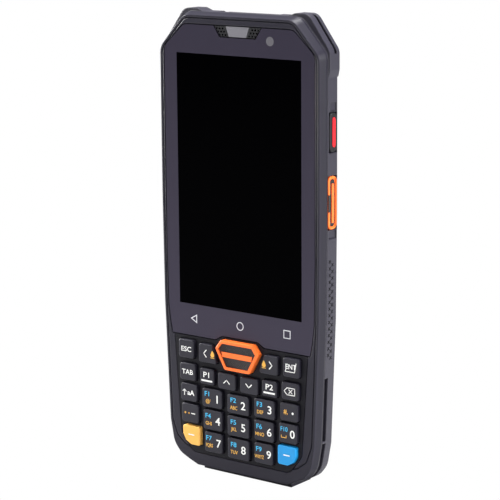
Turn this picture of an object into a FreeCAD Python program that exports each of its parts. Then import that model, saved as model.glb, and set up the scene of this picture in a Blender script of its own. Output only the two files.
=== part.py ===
import FreeCAD, Part
import os
import Sketcher
from FreeCAD import Vector
from math import sin, tan

# A portable barcode data terminal that stands on its foot. X is the width,
# with the power button on +X. Y is the depth, from the keys at -Y to the
# battery cover at +Y. Z is the height. The origin is the middle of the
# foot's box. All lengths are in millimetres.

doc = FreeCAD.newDocument("DataTerminal")
sheet = doc.addObject("Spreadsheet::Sheet", "Sizes")


class Size:
    """A length: its value, and the sheet formula that gives the value."""

    def __init__(self, text, value):
        self.text = text
        self.value = value

    def __add__(self, other):
        other = as_size(other)
        return Size("(%s + %s)" % (self.text, other.text), self.value + other.value)

    def __radd__(self, other):
        return as_size(other) + self

    def __sub__(self, other):
        other = as_size(other)
        return Size("(%s - %s)" % (self.text, other.text), self.value - other.value)

    def __rsub__(self, other):
        return as_size(other) - self

    def __mul__(self, other):
        other = as_size(other)
        return Size("(%s * %s)" % (self.text, other.text), self.value * other.value)

    def __rmul__(self, other):
        return as_size(other) * self

    def __truediv__(self, other):
        other = as_size(other)
        return Size("(%s / %s)" % (self.text, other.text), self.value / other.value)

    def __neg__(self):
        return Size("(0 - %s)" % self.text, -self.value)


def as_size(number):
    if isinstance(number, Size):
        return number
    return Size("%.9f" % number, float(number))


def size(alias, value, meaning):
    """Write one driving dimension into the sheet and return it."""
    size.row += 1
    sheet.set("A%d" % size.row, meaning)
    sheet.set("B%d" % size.row, "%g" % value)
    sheet.setAlias("B%d" % size.row, alias)
    return Size("Sizes." + alias, float(value))


size.row = 0

# Driving dimensions: the case
body_depth = size("body_depth", 17.5, "glass face to battery cover")
key_height = size("key_height", 1.4, "key caps above the fascia")
scan_height = size("scan_height", 2.0, "scan key ring above the fascia")
half_width = size("half_width", 34.0, "half the width of the rear side walls")
case_top = size("case_top", 160.9, "height of the plain top edge")
corner_in = size("corner_in", 23.6, "where the top edge turns down")
corner_down = size("corner_down", 149.3, "where the side wall begins")
waist_high = size("waist_high", 97.0, "height where the sides begin to close in")
waist_half = size("waist_half", 33.6, "half width at the top of the keypad")
waist_low = size("waist_low", 60.0, "height of the top of the keypad")
chin_half = size("chin_half", 31.8, "half width above the bottom corner")
chin_height = size("chin_height", 17.0, "height above the bottom corner")
corner_step = size("corner_step", 4.1, "height of each step round the bottom corner")
corner_reach = size("corner_reach", 4.6, "width of the last step of the corner")
foot_half = size("foot_half", 19.0, "half width of the foot")
foot_step = size("foot_step", 1.4, "how far the foot stands below the case")
side_draft = size("side_draft", 0.7, "how far the front edge is inside the sides")
top_bevel = size("top_bevel", 1.0, "how far the front face is below the top edge")
seam_depth = size("seam_depth", 3.65, "depth of the front housing")
seam_band = size("seam_band", 0.6, "straight band of the front housing at the seam")
seam_gap = size("seam_gap", 0.05, "gap in the seam between the housings")
flank_depth = size("flank_depth", 9.2, "where the side walls turn to the back")
top_slope = size("top_slope", 4.0, "height of the sloped top at the back")
foot_slope = size("foot_slope", 3.0, "height of the sloped bottom corners")
foot_back = size("foot_back", 15.0, "back edge of the foot")
foot_seat = size("foot_seat", 1.0, "how far the foot block reaches into the case")
side_back = size("side_back", 9.3, "back of the chamber behind the side buttons")
back_slope = size("back_slope", 8.0, "width of the sloped flank at the back")
big_round = size("big_round", 5.0, "radius of the top corners")
back_round = size("back_round", 2.5, "radius of the bottom corners at the back")
chin_round = size("chin_round", 7.5, "radius of the bottom corners")

# Driving dimensions: the corner bumpers
bumper_out = size("bumper_out", 0.5, "bumper outside the side wall")
bumper_top = size("bumper_top", 0.9, "bumper above the top edge")
bumper_slope = size("bumper_slope", 2.4, "length of the slope at each end of a bumper")
bumper_start = size("bumper_start", 18.0, "inner end of each bumper")
bumper_turn = size("bumper_turn", 26.0, "where the bumper turns down")
bumper_front = size("bumper_front", 4.2, "front face of the bumpers")
bumper_back = size("bumper_back", 9.8, "back face of the bumpers")
bumper_foot = size("bumper_foot", 141.5, "lower end of the bumpers")
bumper_round = size("bumper_round", 4.0, "radius of the bumper's two outer corners")
lanyard_width = size("lanyard_width", 1.3, "width of the lanyard channel")
lanyard_front = size("lanyard_front", 7.0, "front edge of the lanyard channel")
lanyard_deep = size("lanyard_deep", 1.6, "depth of the lanyard channel")

# Driving dimensions: the glass and display
glass_half = size("glass_half", 31.4, "half width of the glass")
glass_top = size("glass_top", 156.7, "top edge of the glass")
glass_turn = size("glass_turn", 22.9, "where the glass turns down")
glass_shoulder = size("glass_shoulder", 148.8, "where the glass side begins")
glass_foot = size("glass_foot", 48.7, "bottom edge of the glass")
glass_thick = size("glass_thick", 1.0, "thickness of the glass")
glass_gap = size("glass_gap", 0.35, "gap round the glass")
glass_round = size("glass_round", 4.0, "radius of the upper glass corners")
notch_half = size("notch_half", 10.1, "half width of the speaker notch")
notch_low_half = size("notch_low_half", 7.6, "half width of the notch's bottom")
notch_deep = size("notch_deep", 3.8, "height of the speaker notch")
rise_half = size("rise_half", 10.6, "half width of the step over the scan key")
rise_top_half = size("rise_top_half", 7.7, "half width of that step's top")
rise_height = size("rise_height", 1.6, "height of the step over the scan key")
tape_thick = size("tape_thick", 0.25, "thickness of the glass gasket")
tape_wide = size("tape_wide", 1.2, "width of the glass gasket")
active_half = size("active_half", 26.135, "half width of the display's picture")
active_top = size("active_top", 147.0, "top of the display's picture")
active_height = size("active_height", 87.12, "height of the display's picture")
display_margin = size("display_margin", 1.8, "display module round its picture")
display_tail = size("display_tail", 4.5, "display module below its picture")
groove_in = size("groove_in", 0.8, "groove in the fascia inside its edge")
groove_foot = size("groove_foot", 5.9, "lowest part of the groove")
groove_wide = size("groove_wide", 0.35, "width of the fascia groove")
groove_deep = size("groove_deep", 0.6, "depth of the fascia groove")

# Driving dimensions: the keypad
plate_half = size("plate_half", 28.5, "half width of the keypad plate's top")
plate_low_half = size("plate_low_half", 26.0, "half width at its bottom corner")
plate_corner = size("plate_corner", 13.0, "height of its bottom corner")
plate_foot = size("plate_foot", 6.6, "bottom edge of the keypad plate")
plate_foot_half = size("plate_foot_half", 21.0, "half width of that edge")
plate_thick = size("plate_thick", 1.6, "thickness of the keypad plate")
plate_round = size("plate_round", 4.0, "radius of the keypad plate's corners")
plate_gap = size("plate_gap", 0.2, "gap round the keypad plate")
key_gap = size("key_gap", 0.25, "gap round each key in its hole")
key_travel = size("key_travel", 0.6, "travel of the keys")
key_round = size("key_round", 0.9, "corner radius of the keys")
key_edge = size("key_edge", 0.4, "rounding of a key's front edge")
flange_wide = size("flange_wide", 0.35, "flange round the back of a key")
flange_thick = size("flange_thick", 0.6, "thickness of that flange")
rest_gap = size("rest_gap", 0.08, "gap between faces that rest together")
mat_thick = size("mat_thick", 0.6, "thickness of the keypad mat")
outer_edge = size("outer_edge", 25.9, "outer edge of the outer keys, top row")
outer_step = size("outer_step", 0.35, "how much that edge moves in each row")
inner_edge = size("inner_edge", 19.2, "inner edge of the outer keys, top row")
inner_step = size("inner_step", 0.58, "how much that edge moves in each row")
digit_edge = size("digit_edge", 15.65, "outer edge of the side digit keys")
digit_step = size("digit_step", 0.42, "how much that edge moves in each row")
digit_inner = size("digit_inner", 7.0, "inner edge of the side digit keys")
middle_half = size("middle_half", 4.65, "half width of the middle digit keys")
digit_extra = size("digit_extra", 0.4, "how much taller the digit keys are")
arrow_inner = size("arrow_inner", 1.0, "inner edge of the up and down keys")
arrow_outer = size("arrow_outer", 8.6, "outer edge of the up and down keys")
program_inner = size("program_inner", 10.35, "inner edge of the P1 and P2 keys")
program_outer = size("program_outer", 16.65, "outer edge of the P1 and P2 keys")
slant_top = size("slant_top", 11.3, "slanted side of the left key, top")
slant_foot = size("slant_foot", 8.9, "slanted side of the left key, bottom")
slant_outer = size("slant_outer", 17.05, "outer side of the left key")
row_tops = [
    size("row_one", 47.1, "top of the ESC key"),
    size("row_two", 38.65, "top of the TAB key"),
    size("row_three", 31.35, "top of the shift key"),
    size("row_four", 24.15, "top of the dash key"),
    size("row_five", 16.25, "top of the yellow key"),
]
row_heights = [
    size("tall_one", 6.55, "height of the ESC key"),
    size("tall_two", 6.05, "height of the TAB key"),
    size("tall_three", 6.25, "height of the shift key"),
    size("tall_four", 6.75, "height of the dash key"),
    size("tall_five", 6.85, "height of the yellow key"),
]
row_sags = [
    size("sag_one", 0.4, "how far the inner keys of row 1 sit lower"),
    size("sag_two", 0.65, "how far the inner keys of row 2 sit lower"),
    size("sag_three", 0.35, "how far the inner keys of row 3 sit lower"),
    size("sag_four", 0.75, "how far the inner keys of row 4 sit lower"),
    size("sag_five", 0.85, "how far the inner keys of row 5 sit lower"),
]
middle_sag = size("middle_sag", 0.45, "how much lower still the middle keys sit")
corner_cut = size("corner_cut", 3.6, "large corner of the yellow and blue keys")
scan_top_half = size("scan_top_half", 7.0, "half width of the scan key's top")
scan_mid_half = size("scan_mid_half", 9.3, "half width of the scan key")
scan_low_half = size("scan_low_half", 5.3, "half width of the scan key's bottom")
scan_top = size("scan_top", 49.3, "top of the scan key")
scan_mid = size("scan_mid", 46.2, "height of its widest place")
scan_foot = size("scan_foot", 39.0, "bottom of the scan key")
scan_ring = size("scan_ring", 1.1, "width of the scan key's ring")
scan_dish = size("scan_dish", 0.5, "depth of the pad inside the ring")
bar_half = size("bar_half", 6.3, "half length of the bar on the scan key")
bar_top = size("bar_top", 45.3, "top of that bar")
bar_tall = size("bar_tall", 1.8, "height of that bar")
bar_proud = size("bar_proud", 0.2, "bar above the pad")

# Driving dimensions: the side buttons
button_proud = size("button_proud", 0.25, "side buttons outside the wall")
button_gap = size("button_gap", 0.2, "gap round a side button")
button_front = size("button_front", 4.7, "front edge of the power button")
button_back = size("button_back", 8.8, "back edge of the power button")
button_round = size("button_round", 1.9, "corner radius of the side buttons")
power_top = size("power_top", 130.0, "top of the power button")
power_foot = size("power_foot", 117.0, "bottom of the power button")
trigger_top = size("trigger_top", 109.0, "top of the side scan buttons")
trigger_foot = size("trigger_foot", 91.3, "bottom of the side scan buttons")
trigger_front = size("trigger_front", 4.0, "front edge of the side scan buttons")
trigger_ring = size("trigger_ring", 0.75, "width of the scan buttons' ring")
trigger_dish = size("trigger_dish", 0.35, "depth of the pad inside the ring")
rocker_top = size("rocker_top", 134.0, "top of the volume rocker")
rocker_foot = size("rocker_foot", 114.0, "bottom of the volume rocker")
button_edge = size("button_edge", 0.35, "rounding of a side button's face")
button_flange = size("button_flange", 0.9, "flange at the ends of a side button")
scoop_tall = size("scoop_tall", 3.2, "length of the scoops beside the buttons")
scoop_deep = size("scoop_deep", 0.5, "depth of those scoops")
rail_top = size("rail_top", 40.5, "upper end of the cradle groove")
rail_wide = size("rail_wide", 2.0, "width of the cradle groove")
rail_lean = size("rail_lean", 0.95, "how much the groove leans outwards above the bridge")
rail_deep = size("rail_deep", 1.2, "depth of the cradle groove")
rail_bridge = size("rail_bridge", 17.6, "height of the bridge in the groove")
rail_bridge_tall = size("rail_bridge_tall", 0.8, "height of the bridge itself")

# Driving dimensions: inside the case
wall = size("wall", 2.0, "thickness of the side walls")
back_wall = size("back_wall", 1.8, "thickness of the back wall")
frame_front = size("frame_front", 4.3, "front face of the chassis plate")
frame_thick = size("frame_thick", 1.0, "thickness of the chassis plate")
frame_space = size("frame_space", 1.6, "chassis plate inside the case walls")
board_lift = size("board_lift", 0.3, "main board above the chassis plate")
board_thick = size("board_thick", 1.0, "thickness of the main board")
board_half = size("board_half", 27.0, "half width of the main board")
board_top = size("board_top", 147.0, "top edge of the main board")
board_tail_half = size("board_tail_half", 13.0, "half width of the board's tail")
board_tail_top = size("board_tail_top", 19.0, "top of the board's tail")
board_foot = size("board_foot", 5.0, "bottom edge of the board's tail")
can_thick = size("can_thick", 1.6, "height of the shield cans")
deep_half = size("deep_half", 25.0, "half width of the deep chamber")
deep_top = size("deep_top", 149.0, "top of the deep chamber")
deep_foot = size("deep_foot", 92.0, "bottom of the deep chamber")
shallow_back = size("shallow_back", 7.2, "back of the shallow chamber")
bay_half = size("bay_half", 21.5, "half width of the battery bay")
bay_top = size("bay_top", 88.0, "top of the battery bay")
bay_foot = size("bay_foot", 22.0, "bottom of the battery bay")
bay_floor = size("bay_floor", 1.0, "floor between the bay and the chamber")
battery_gap = size("battery_gap", 0.2, "gap round the battery")
cover_thick = size("cover_thick", 1.4, "thickness of the battery cover")
cover_lip = size("cover_lip", 1.8, "how far the cover overlaps the bay")
cover_gap = size("cover_gap", 0.15, "gap round the battery cover")
latch_half = size("latch_half", 6.0, "half width of the battery latch")
latch_tall = size("latch_tall", 5.0, "height of the battery latch")
latch_travel = size("latch_travel", 2.5, "travel of the battery latch")
latch_foot = size("latch_foot", 24.5, "lower edge of the battery latch")
latch_deep = size("latch_deep", 0.8, "depth of the latch in the cover")
screw_side = size("screw_side", 19.0, "lower screws from the centre line")
screw_top_side = size("screw_top_side", 17.0, "upper screws from the centre line")
screw_top = size("screw_top", 154.3, "height of the upper screws")
screw_foot = size("screw_foot", 11.0, "height of the lower screws")
screw_head = size("screw_head", 1.9, "radius of the screw heads")
screw_shank = size("screw_shank", 0.9, "radius of the screw shanks")
screw_sunk = size("screw_sunk", 0.3, "screw heads below the back face")
screw_tall = size("screw_tall", 1.2, "height of the screw heads")
boss_radius = size("boss_radius", 2.4, "radius of the chassis bosses")

# Driving dimensions: scanner, cameras, sound
window_half = size("window_half", 12.5, "half width of the scan window")
window_front = size("window_front", 6.2, "front edge of the scan window")
window_back = size("window_back", 12.2, "back edge of the scan window")
window_thick = size("window_thick", 1.0, "thickness of the scan window")
window_sunk = size("window_sunk", 0.5, "scan window below the top edge")
engine_half = size("engine_half", 11.0, "half width of the scan engine")
engine_tall = size("engine_tall", 8.0, "height of the scan engine")
camera_x = size("camera_x", 13.5, "front camera from the centre line")
camera_z = size("camera_z", 152.6, "height of the front camera")
camera_dot = size("camera_dot", 1.55, "radius of the front camera's window")
camera_barrel = size("camera_barrel", 2.4, "radius of the front camera")
rear_camera_z = size("rear_camera_z", 131.0, "height of the rear camera")
rear_camera_radius = size("rear_camera_radius", 4.5, "radius of the rear camera")
rear_window_half = size("rear_window_half", 12.0, "half width of the camera window")
rear_window_tall = size("rear_window_tall", 13.0, "height of the camera window")
rear_window_thick = size("rear_window_thick", 0.9, "thickness of the camera window")
lens_top_half = size("lens_top_half", 4.9, "half width of the status light's top")
lens_low_half = size("lens_low_half", 3.6, "half width of its bottom")
grille_gap = size("grille_gap", 0.1, "gap round the speaker grille")
grille_hole = size("grille_hole", 0.35, "radius of the grille's holes")
grille_pitch = size("grille_pitch", 1.22, "spacing of the grille's holes")
grille_row = size("grille_row", 1.05, "spacing of the grille's rows")
ear_half = size("ear_half", 6.0, "half width of the earpiece")
ear_tall = size("ear_tall", 4.0, "height of the earpiece")
speaker_x = size("speaker_x", 15.0, "loudspeaker from the centre line")
speaker_z = size("speaker_z", 103.0, "height of the loudspeaker")
speaker_half = size("speaker_half", 7.5, "half width of the loudspeaker")
speaker_tall = size("speaker_tall", 5.5, "half height of the loudspeaker")
speaker_thick = size("speaker_thick", 4.0, "depth of the loudspeaker")
slot_count = 5
slot_pitch = size("slot_pitch", 2.2, "spacing of the loudspeaker slots")
slot_wide = size("slot_wide", 0.9, "width of the loudspeaker slots")
slot_half = size("slot_half", 4.5, "half length of the loudspeaker slots")
motor_radius = size("motor_radius", 2.0, "radius of the vibration motor")
motor_length = size("motor_length", 8.0, "length of the vibration motor")
motor_x = size("motor_x", 18.0, "vibration motor from the centre line")
motor_z = size("motor_z", 122.0, "height of the vibration motor")

# Driving dimensions: the port and its flap
port_half = size("port_half", 4.47, "half width of the charging port")
port_high = size("port_high", 3.16, "depth of the charging port")
port_long = size("port_long", 7.3, "length of the charging port")
port_foot = size("port_foot", 1.9, "mouth of the charging port above the foot")
port_wall = size("port_wall", 0.3, "thickness of the port's shell")
flap_half = size("flap_half", 6.5, "half width of the port flap")
flap_thick = size("flap_thick", 1.2, "thickness of the port flap")
flap_front = size("flap_front", 4.6, "front edge of the port flap")
flap_sunk = size("flap_sunk", 0.3, "port flap above the foot face")
flap_gap = size("flap_gap", 0.25, "gap round the port flap")
hinge_y = size("hinge_y", 12.4, "depth of the flap's pin")
pin_radius = size("pin_radius", 0.5, "radius of the flap's pin")
pin_gap = size("pin_gap", 0.04, "running gap on the flap's pin")
pin_seat = size("pin_seat", 1.6, "length of each end of the pin in the case")
knuckle_radius = size("knuckle_radius", 1.0, "radius of the flap's knuckle")
contact_radius = size("contact_radius", 0.9, "radius of the charging contacts")
contact_x = size("contact_x", 12.0, "first contact from the centre line")
contact_pitch = size("contact_pitch", 3.2, "spacing of the contacts")
contact_y = size("contact_y", 8.0, "depth of the contacts")
contact_long = size("contact_long", 3.4, "length of the contacts")
contact_sunk = size("contact_sunk", 0.2, "contacts above the foot face")
contact_gap = size("contact_gap", 0.05, "gap round the contacts")

doc.recompute()

# Depths are counted from the glass face, which this places in the frame
face = scan_height / 2 - body_depth / 2
key_mat_front = plate_thick + rest_gap + flange_thick + key_travel + rest_gap
tiny = size("cut_clearance", 1.0, "how far a cut starts outside the material")


def depth(distance):
    """The Y coordinate of a distance behind the glass face."""
    return face + distance


# Helpers for bodies, outlines and features
made = []


def new_body(label):
    body = doc.addObject("PartDesign::Body", label)
    body.Label = label
    made.append(body)
    return body


def origin_plane(body, role):
    for item in body.Origin.OriginFeatures:
        if item.Role == role:
            return item
    raise ValueError(role)


def new_sketch(body, plane, start):
    """An empty sketch parallel to an origin plane, start along its axis."""
    sketch = body.newObject("Sketcher::SketchObject", "Sketch")
    sketch.AttachmentSupport = (origin_plane(body, plane + "_Plane"), "")
    sketch.MapMode = "FlatFace"
    place = -as_size(start) if plane == "XZ" else as_size(start)
    sketch.setExpression("AttachmentOffset.Base.z", place.text)
    return sketch


def bind(sketch, constraints, formulas):
    """Add constraints together, then drive each with its sheet formula."""
    first = sketch.ConstraintCount
    sketch.addConstraint(constraints)
    for i, length in enumerate(formulas):
        if length is not None:
            sketch.setExpression("Constraints[%d]" % (first + i), length.text)


def tangent_points(before, corner, after, radius):
    """Where an arc leaves and meets the two sides of a corner, and its middle.

    Both lie the radius over the tangent of half the corner's angle away from
    the corner, along its sides.
    """
    one = (before - corner).normalize()
    two = (after - corner).normalize()
    half_angle = one.getAngle(two) / 2
    reach = 1 / tan(half_angle)
    centre = corner + (one + two).normalize() * (radius / sin(half_angle))
    middle = centre + (corner - centre).normalize() * radius
    return one * reach, two * reach, middle


def add_polygons(sketch, outlines):
    """Closed chains of lines with every corner dimensioned.

    A corner with a third value is rounded by an arc of that radius.
    """
    shapes = []
    constraints = []
    formulas = []

    def fix(index, point, x, y):
        constraints.append(Sketcher.Constraint("DistanceX", -1, 1, index, point, x.value))
        constraints.append(Sketcher.Constraint("DistanceY", -1, 1, index, point, y.value))
        formulas.extend([x, y])

    for corners in outlines:
        spots = [Vector(as_size(c[0]).value, as_size(c[1]).value, 0) for c in corners]
        ends = []
        for i, corner in enumerate(corners):
            x, y = as_size(corner[0]), as_size(corner[1])
            if len(corner) == 2:
                ends.append(((x, y), (x, y), None))
                continue
            radius = as_size(corner[2])
            after = spots[(i + 1) % len(spots)]
            one, two, middle = tangent_points(spots[i - 1], spots[i], after, radius.value)
            ends.append(((x + radius * one.x, y + radius * one.y),
                         (x + radius * two.x, y + radius * two.y), middle))
        chain = []
        for i, (arrive, leave, middle) in enumerate(ends):
            if middle is not None:
                start = Vector(arrive[0].value, arrive[1].value, 0)
                end = Vector(leave[0].value, leave[1].value, 0)
                arc = Part.Arc(start, middle, end)
                turn = (middle - start).cross(end - middle).z
                head, tail = (1, 2) if turn > 0 else (2, 1)
                index = len(shapes)
                shapes.append(arc)
                fix(index, head, *arrive)
                fix(index, tail, *leave)
                constraints.append(Sketcher.Constraint("Radius", index, corners[i][2].value))
                formulas.append(corners[i][2])
                chain.append((index, head, tail))
            following = ends[(i + 1) % len(ends)][0]
            start = Vector(leave[0].value, leave[1].value, 0)
            index = len(shapes)
            shapes.append(Part.LineSegment(start, Vector(following[0].value, following[1].value, 0)))
            chain.append((index, 1, 2))
            if middle is None:
                fix(index, 1, *leave)
        for i, (index, head, tail) in enumerate(chain):
            after, after_head, _ = chain[(i + 1) % len(chain)]
            constraints.append(Sketcher.Constraint("Coincident", index, tail, after, after_head))
            formulas.append(None)
    sketch.addGeometry(shapes)
    bind(sketch, constraints, formulas)


def add_circles(sketch, circles):
    """Circles with their centres and radii dimensioned."""
    constraints = []
    formulas = []
    for centre, radius in circles:
        x, y = as_size(centre[0]), as_size(centre[1])
        index = sketch.addGeometry(Part.Circle(Vector(x.value, y.value, 0), Vector(0, 0, 1), radius.value))
        constraints += [
            Sketcher.Constraint("DistanceX", -1, 1, index, 3, x.value),
            Sketcher.Constraint("DistanceY", -1, 1, index, 3, y.value),
            Sketcher.Constraint("Radius", index, radius.value),
        ]
        formulas += [x, y, radius]
    bind(sketch, constraints, formulas)


def extrude(body, kind, plane, start, length, polygons=(), circles=()):
    """Pad or Pocket outlines from start, along the plane's axis."""
    sketch = new_sketch(body, plane, start)
    if polygons:
        add_polygons(sketch, polygons)
    if circles:
        add_circles(sketch, circles)
    feature = body.newObject("PartDesign::" + kind, kind)
    feature.Profile = sketch
    feature.Length = as_size(length).value
    feature.setExpression("Length", as_size(length).text)
    if kind == "Pad":
        feature.Reversed = plane == "XZ"
    else:
        feature.Reversed = plane != "XZ"
    doc.recompute([sketch, feature])
    return feature


def pad(body, plane, start, length, *polygons, circles=()):
    return extrude(body, "Pad", plane, start, length, polygons, circles)


def pocket(body, plane, start, length, *polygons, circles=()):
    return extrude(body, "Pocket", plane, start, length, polygons, circles)


def soften(body, kind, edges, radius):
    """A Fillet or Chamfer on the named edges of the body's last feature."""
    last = body.Tip
    feature = body.newObject("PartDesign::" + kind, kind)
    feature.Base = (last, edges)
    name = "Radius" if kind == "Fillet" else "Size"
    setattr(feature, name, radius.value)
    feature.setExpression(name, radius.text)
    doc.recompute([feature])
    return feature


def matching(body, test):
    """Names of the edges of a body whose ends pass a test."""
    names = []
    for i, edge in enumerate(body.Tip.Shape.Edges):
        if len(edge.Vertexes) == 2 and test(*[v.Point for v in edge.Vertexes]):
            names.append("Edge%d" % (i + 1))
    return names


def close_to(value, target):
    return abs(value - target) < 0.02


def round_corners(body, corners, radius):
    """Fillet the edges along Y that stand at the given corners."""
    places = [(as_size(a).value, as_size(b).value) for a, b in corners]

    def test(p, q):
        if abs(p.y - q.y) < 0.1 or not (close_to(p.x, q.x) and close_to(p.z, q.z)):
            return False
        return any(close_to(p.x, a) and close_to(p.z, b) for a, b in places)

    return soften(body, "Fillet", matching(body, test), radius)


def round_face(body, axis, level, radius, kind="Fillet", keep=None):
    """Soften the edges of the flat face at one level along an axis."""
    names = []
    for i, edge in enumerate(body.Tip.Shape.Edges):
        middle = edge.valueAt((edge.FirstParameter + edge.LastParameter) / 2)
        places = [v.Point for v in edge.Vertexes] + [middle]
        if not all(close_to(getattr(p, axis), level.value) for p in places):
            continue
        if keep is None or keep(middle):
            names.append("Edge%d" % (i + 1))
    return soften(body, kind, names, radius)


def both_sides(half):
    """Complete an outline from its right half, listed from top to bottom."""
    return list(half) + [(-as_size(c[0]),) + tuple(c[1:]) for c in reversed(half)]


def box(left, right, low, high):
    return [(left, high), (right, high), (right, low), (left, low)]


def grown(corners, amount):
    """Move each side of a closed outline outwards by an amount.

    A corner moves along the mean of its two sides' normals, by the amount
    over the cosine of half the turn.
    """
    amount = as_size(amount)
    points = [Vector(as_size(c[0]).value, as_size(c[1]).value, 0) for c in corners]
    count = len(points)
    moved = []
    for i, corner in enumerate(corners):
        before = (points[i] - points[i - 1]).normalize()
        after = (points[(i + 1) % count] - points[i]).normalize()
        one = Vector(-before.y, before.x, 0)
        two = Vector(-after.y, after.x, 0)
        miter = (one + two) * (1.0 / (1.0 + one.dot(two)))
        place = (corner[0] + amount * miter.x, corner[1] + amount * miter.y)
        if len(corner) == 3:
            convex = before.cross(after).z < 0
            place += (corner[2] + amount,) if convex else (corner[2] - amount,)
        moved.append(place)
    return moved


# Outlines of the case, seen from the front
case_half = [
    (corner_in, case_top, big_round),
    (half_width, corner_down, big_round),
    (half_width, waist_high),
    (waist_half, waist_low),
    (chin_half, chin_height, chin_round),
    (chin_half - corner_reach / 3, chin_height - corner_step * 2, chin_round),
    (chin_half - corner_reach, chin_height - corner_step * 3, chin_round),
    (chin_half - corner_reach * 2, foot_step * 2, chin_round),
    (foot_half, foot_step),
]
case_outline = both_sides(case_half)
front_half = [
    (corner_in - side_draft, case_top - top_bevel, big_round),
    (half_width - side_draft, corner_down - side_draft, big_round),
    (half_width - side_draft, waist_high),
    (waist_half - side_draft, waist_low),
    (chin_half - side_draft, chin_height, chin_round),
    (chin_half - corner_reach / 3 - side_draft, chin_height - corner_step * 2, chin_round),
    (chin_half - corner_reach - side_draft / 2, chin_height - corner_step * 3 + side_draft, chin_round),
    (chin_half - corner_reach * 2, foot_step * 2 + side_draft, chin_round),
    (foot_half, foot_step + side_draft),
]
front_outline = both_sides(front_half)
glass_half_outline = [
    (notch_low_half, glass_top - notch_deep),
    (notch_half, glass_top),
    (glass_turn, glass_top, glass_round),
    (glass_half, glass_shoulder, glass_round),
    (glass_half, waist_high - (waist_high - waist_low) / 2),
    (glass_half - side_draft / 2, waist_low - 1),
    (glass_half - glass_thick * 1.2, glass_foot + notch_deep),
    (glass_half - notch_deep / 2, glass_foot),
    (rise_half, glass_foot),
    (rise_top_half, glass_foot + rise_height),
]
glass_outline = both_sides(glass_half_outline)
plate_top = glass_foot - glass_gap
plate_outline = both_sides([
    (rise_top_half - plate_gap, plate_top + rise_height),
    (rise_half - plate_gap, plate_top),
    (plate_half, plate_top),
    (plate_low_half, plate_corner, plate_round),
    (plate_foot_half, plate_foot, plate_round),
])


def pair(corners):
    """The given corners and their mirror images."""
    return list(corners) + [(-as_size(a), b) for a, b in corners]


# Outlines of the keys, each as a function of how much it is grown
def block(left, right, top, tall):
    """A plain key between two sides, hanging from its top edge."""
    def outline(grow):
        return box(left - grow, right + grow, top - tall - grow, top + grow)
    return outline


def mirrored(outline):
    """The same key on the other side of the keypad."""
    def other(grow):
        return [(-as_size(c[0]),) + tuple(c[1:]) for c in reversed(outline(grow))]
    return other


def polygon_key(corners):
    def outline(grow):
        return grown(corners, grow)
    return outline


def outer_key(row):
    inner = inner_edge - inner_step * row
    outer = outer_edge - outer_step * row
    return block(inner, outer, row_tops[row], row_heights[row])


def digit_key(row):
    top = row_tops[row] - row_sags[row]
    outer = digit_edge - digit_step * (row - 2)
    return block(digit_inner, outer, top, row_heights[row] + digit_extra)


def middle_key(row):
    top = row_tops[row] - row_sags[row] - middle_sag
    return block(-middle_half, middle_half, top, row_heights[row] + digit_extra)


second_top = row_tops[1] - row_sags[1]
program_key = block(program_inner, program_outer, second_top, row_heights[1] - digit_extra)
arrow_key = block(arrow_inner, arrow_outer, second_top - middle_sag, row_heights[1] - digit_extra)
turn_top = row_tops[0] - row_sags[0]
turn_foot = turn_top - row_heights[0]
turn_key = polygon_key([
    (slant_top, turn_top),
    (slant_outer, turn_top),
    (slant_outer, turn_foot),
    (slant_foot, turn_foot),
])
last_inner = inner_edge - inner_step * 4
last_outer = outer_edge - outer_step * 4
last_foot = row_tops[4] - row_heights[4]
colour_key = polygon_key([
    (last_inner, row_tops[4]),
    (last_outer, row_tops[4]),
    (last_outer, last_foot + corner_cut),
    (last_outer - corner_cut * 0.35, last_foot + corner_cut * 0.35),
    (last_outer - corner_cut, last_foot),
    (last_inner, last_foot),
])
scan_outline = both_sides([
    (scan_top_half, scan_top),
    (scan_mid_half, scan_mid),
    (scan_low_half, scan_foot),
])
keys = {
    "key_escape": mirrored(outer_key(0)),
    "key_left": mirrored(turn_key),
    "key_right": turn_key,
    "key_enter": outer_key(0),
    "key_tab": mirrored(outer_key(1)),
    "key_p1": mirrored(program_key),
    "key_up": mirrored(arrow_key),
    "key_down": arrow_key,
    "key_p2": program_key,
    "key_backspace": outer_key(1),
    "key_shift": mirrored(outer_key(2)),
    "key_1": mirrored(digit_key(2)),
    "key_2": middle_key(2),
    "key_3": digit_key(2),
    "key_dot": outer_key(2),
    "key_dash": mirrored(outer_key(3)),
    "key_4": mirrored(digit_key(3)),
    "key_5": middle_key(3),
    "key_6": digit_key(3),
    "key_0": outer_key(3),
    "key_yellow": mirrored(colour_key),
    "key_7": mirrored(digit_key(4)),
    "key_8": middle_key(4),
    "key_9": digit_key(4),
    "key_blue": colour_key,
}
key_scan_outline = polygon_key(scan_outline)


# The keys: a cap that fills its hole in the plate, and a flange behind it
def make_key(label, outline):
    body = new_body(label)
    flange_front = plate_thick + rest_gap
    pad(body, "XZ", depth(-key_height), key_height + flange_front + flange_thick, outline(0))
    round_corners(body, outline(0), key_round)
    round_face(body, "y", depth(-key_height), key_edge)
    pad(body, "XZ", depth(flange_front), flange_thick, outline(flange_wide))


for label, outline in keys.items():
    make_key(label, outline)

scan_key = new_body("scan_key")
scan_back = plate_thick + rest_gap
pad(scan_key, "XZ", depth(-scan_height), scan_height + scan_back + flange_thick, scan_outline)
round_corners(scan_key, scan_outline, key_round)
round_face(scan_key, "y", depth(-scan_height), key_edge)
pocket(scan_key, "XZ", depth(-scan_height), scan_dish, grown(scan_outline, -scan_ring))
pad(scan_key, "XZ", depth(-scan_height + scan_dish - bar_proud), bar_proud,
    box(-bar_half, bar_half, bar_top - bar_tall, bar_top))
pad(scan_key, "XZ", depth(scan_back), flange_thick, grown(scan_outline, flange_wide))

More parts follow.
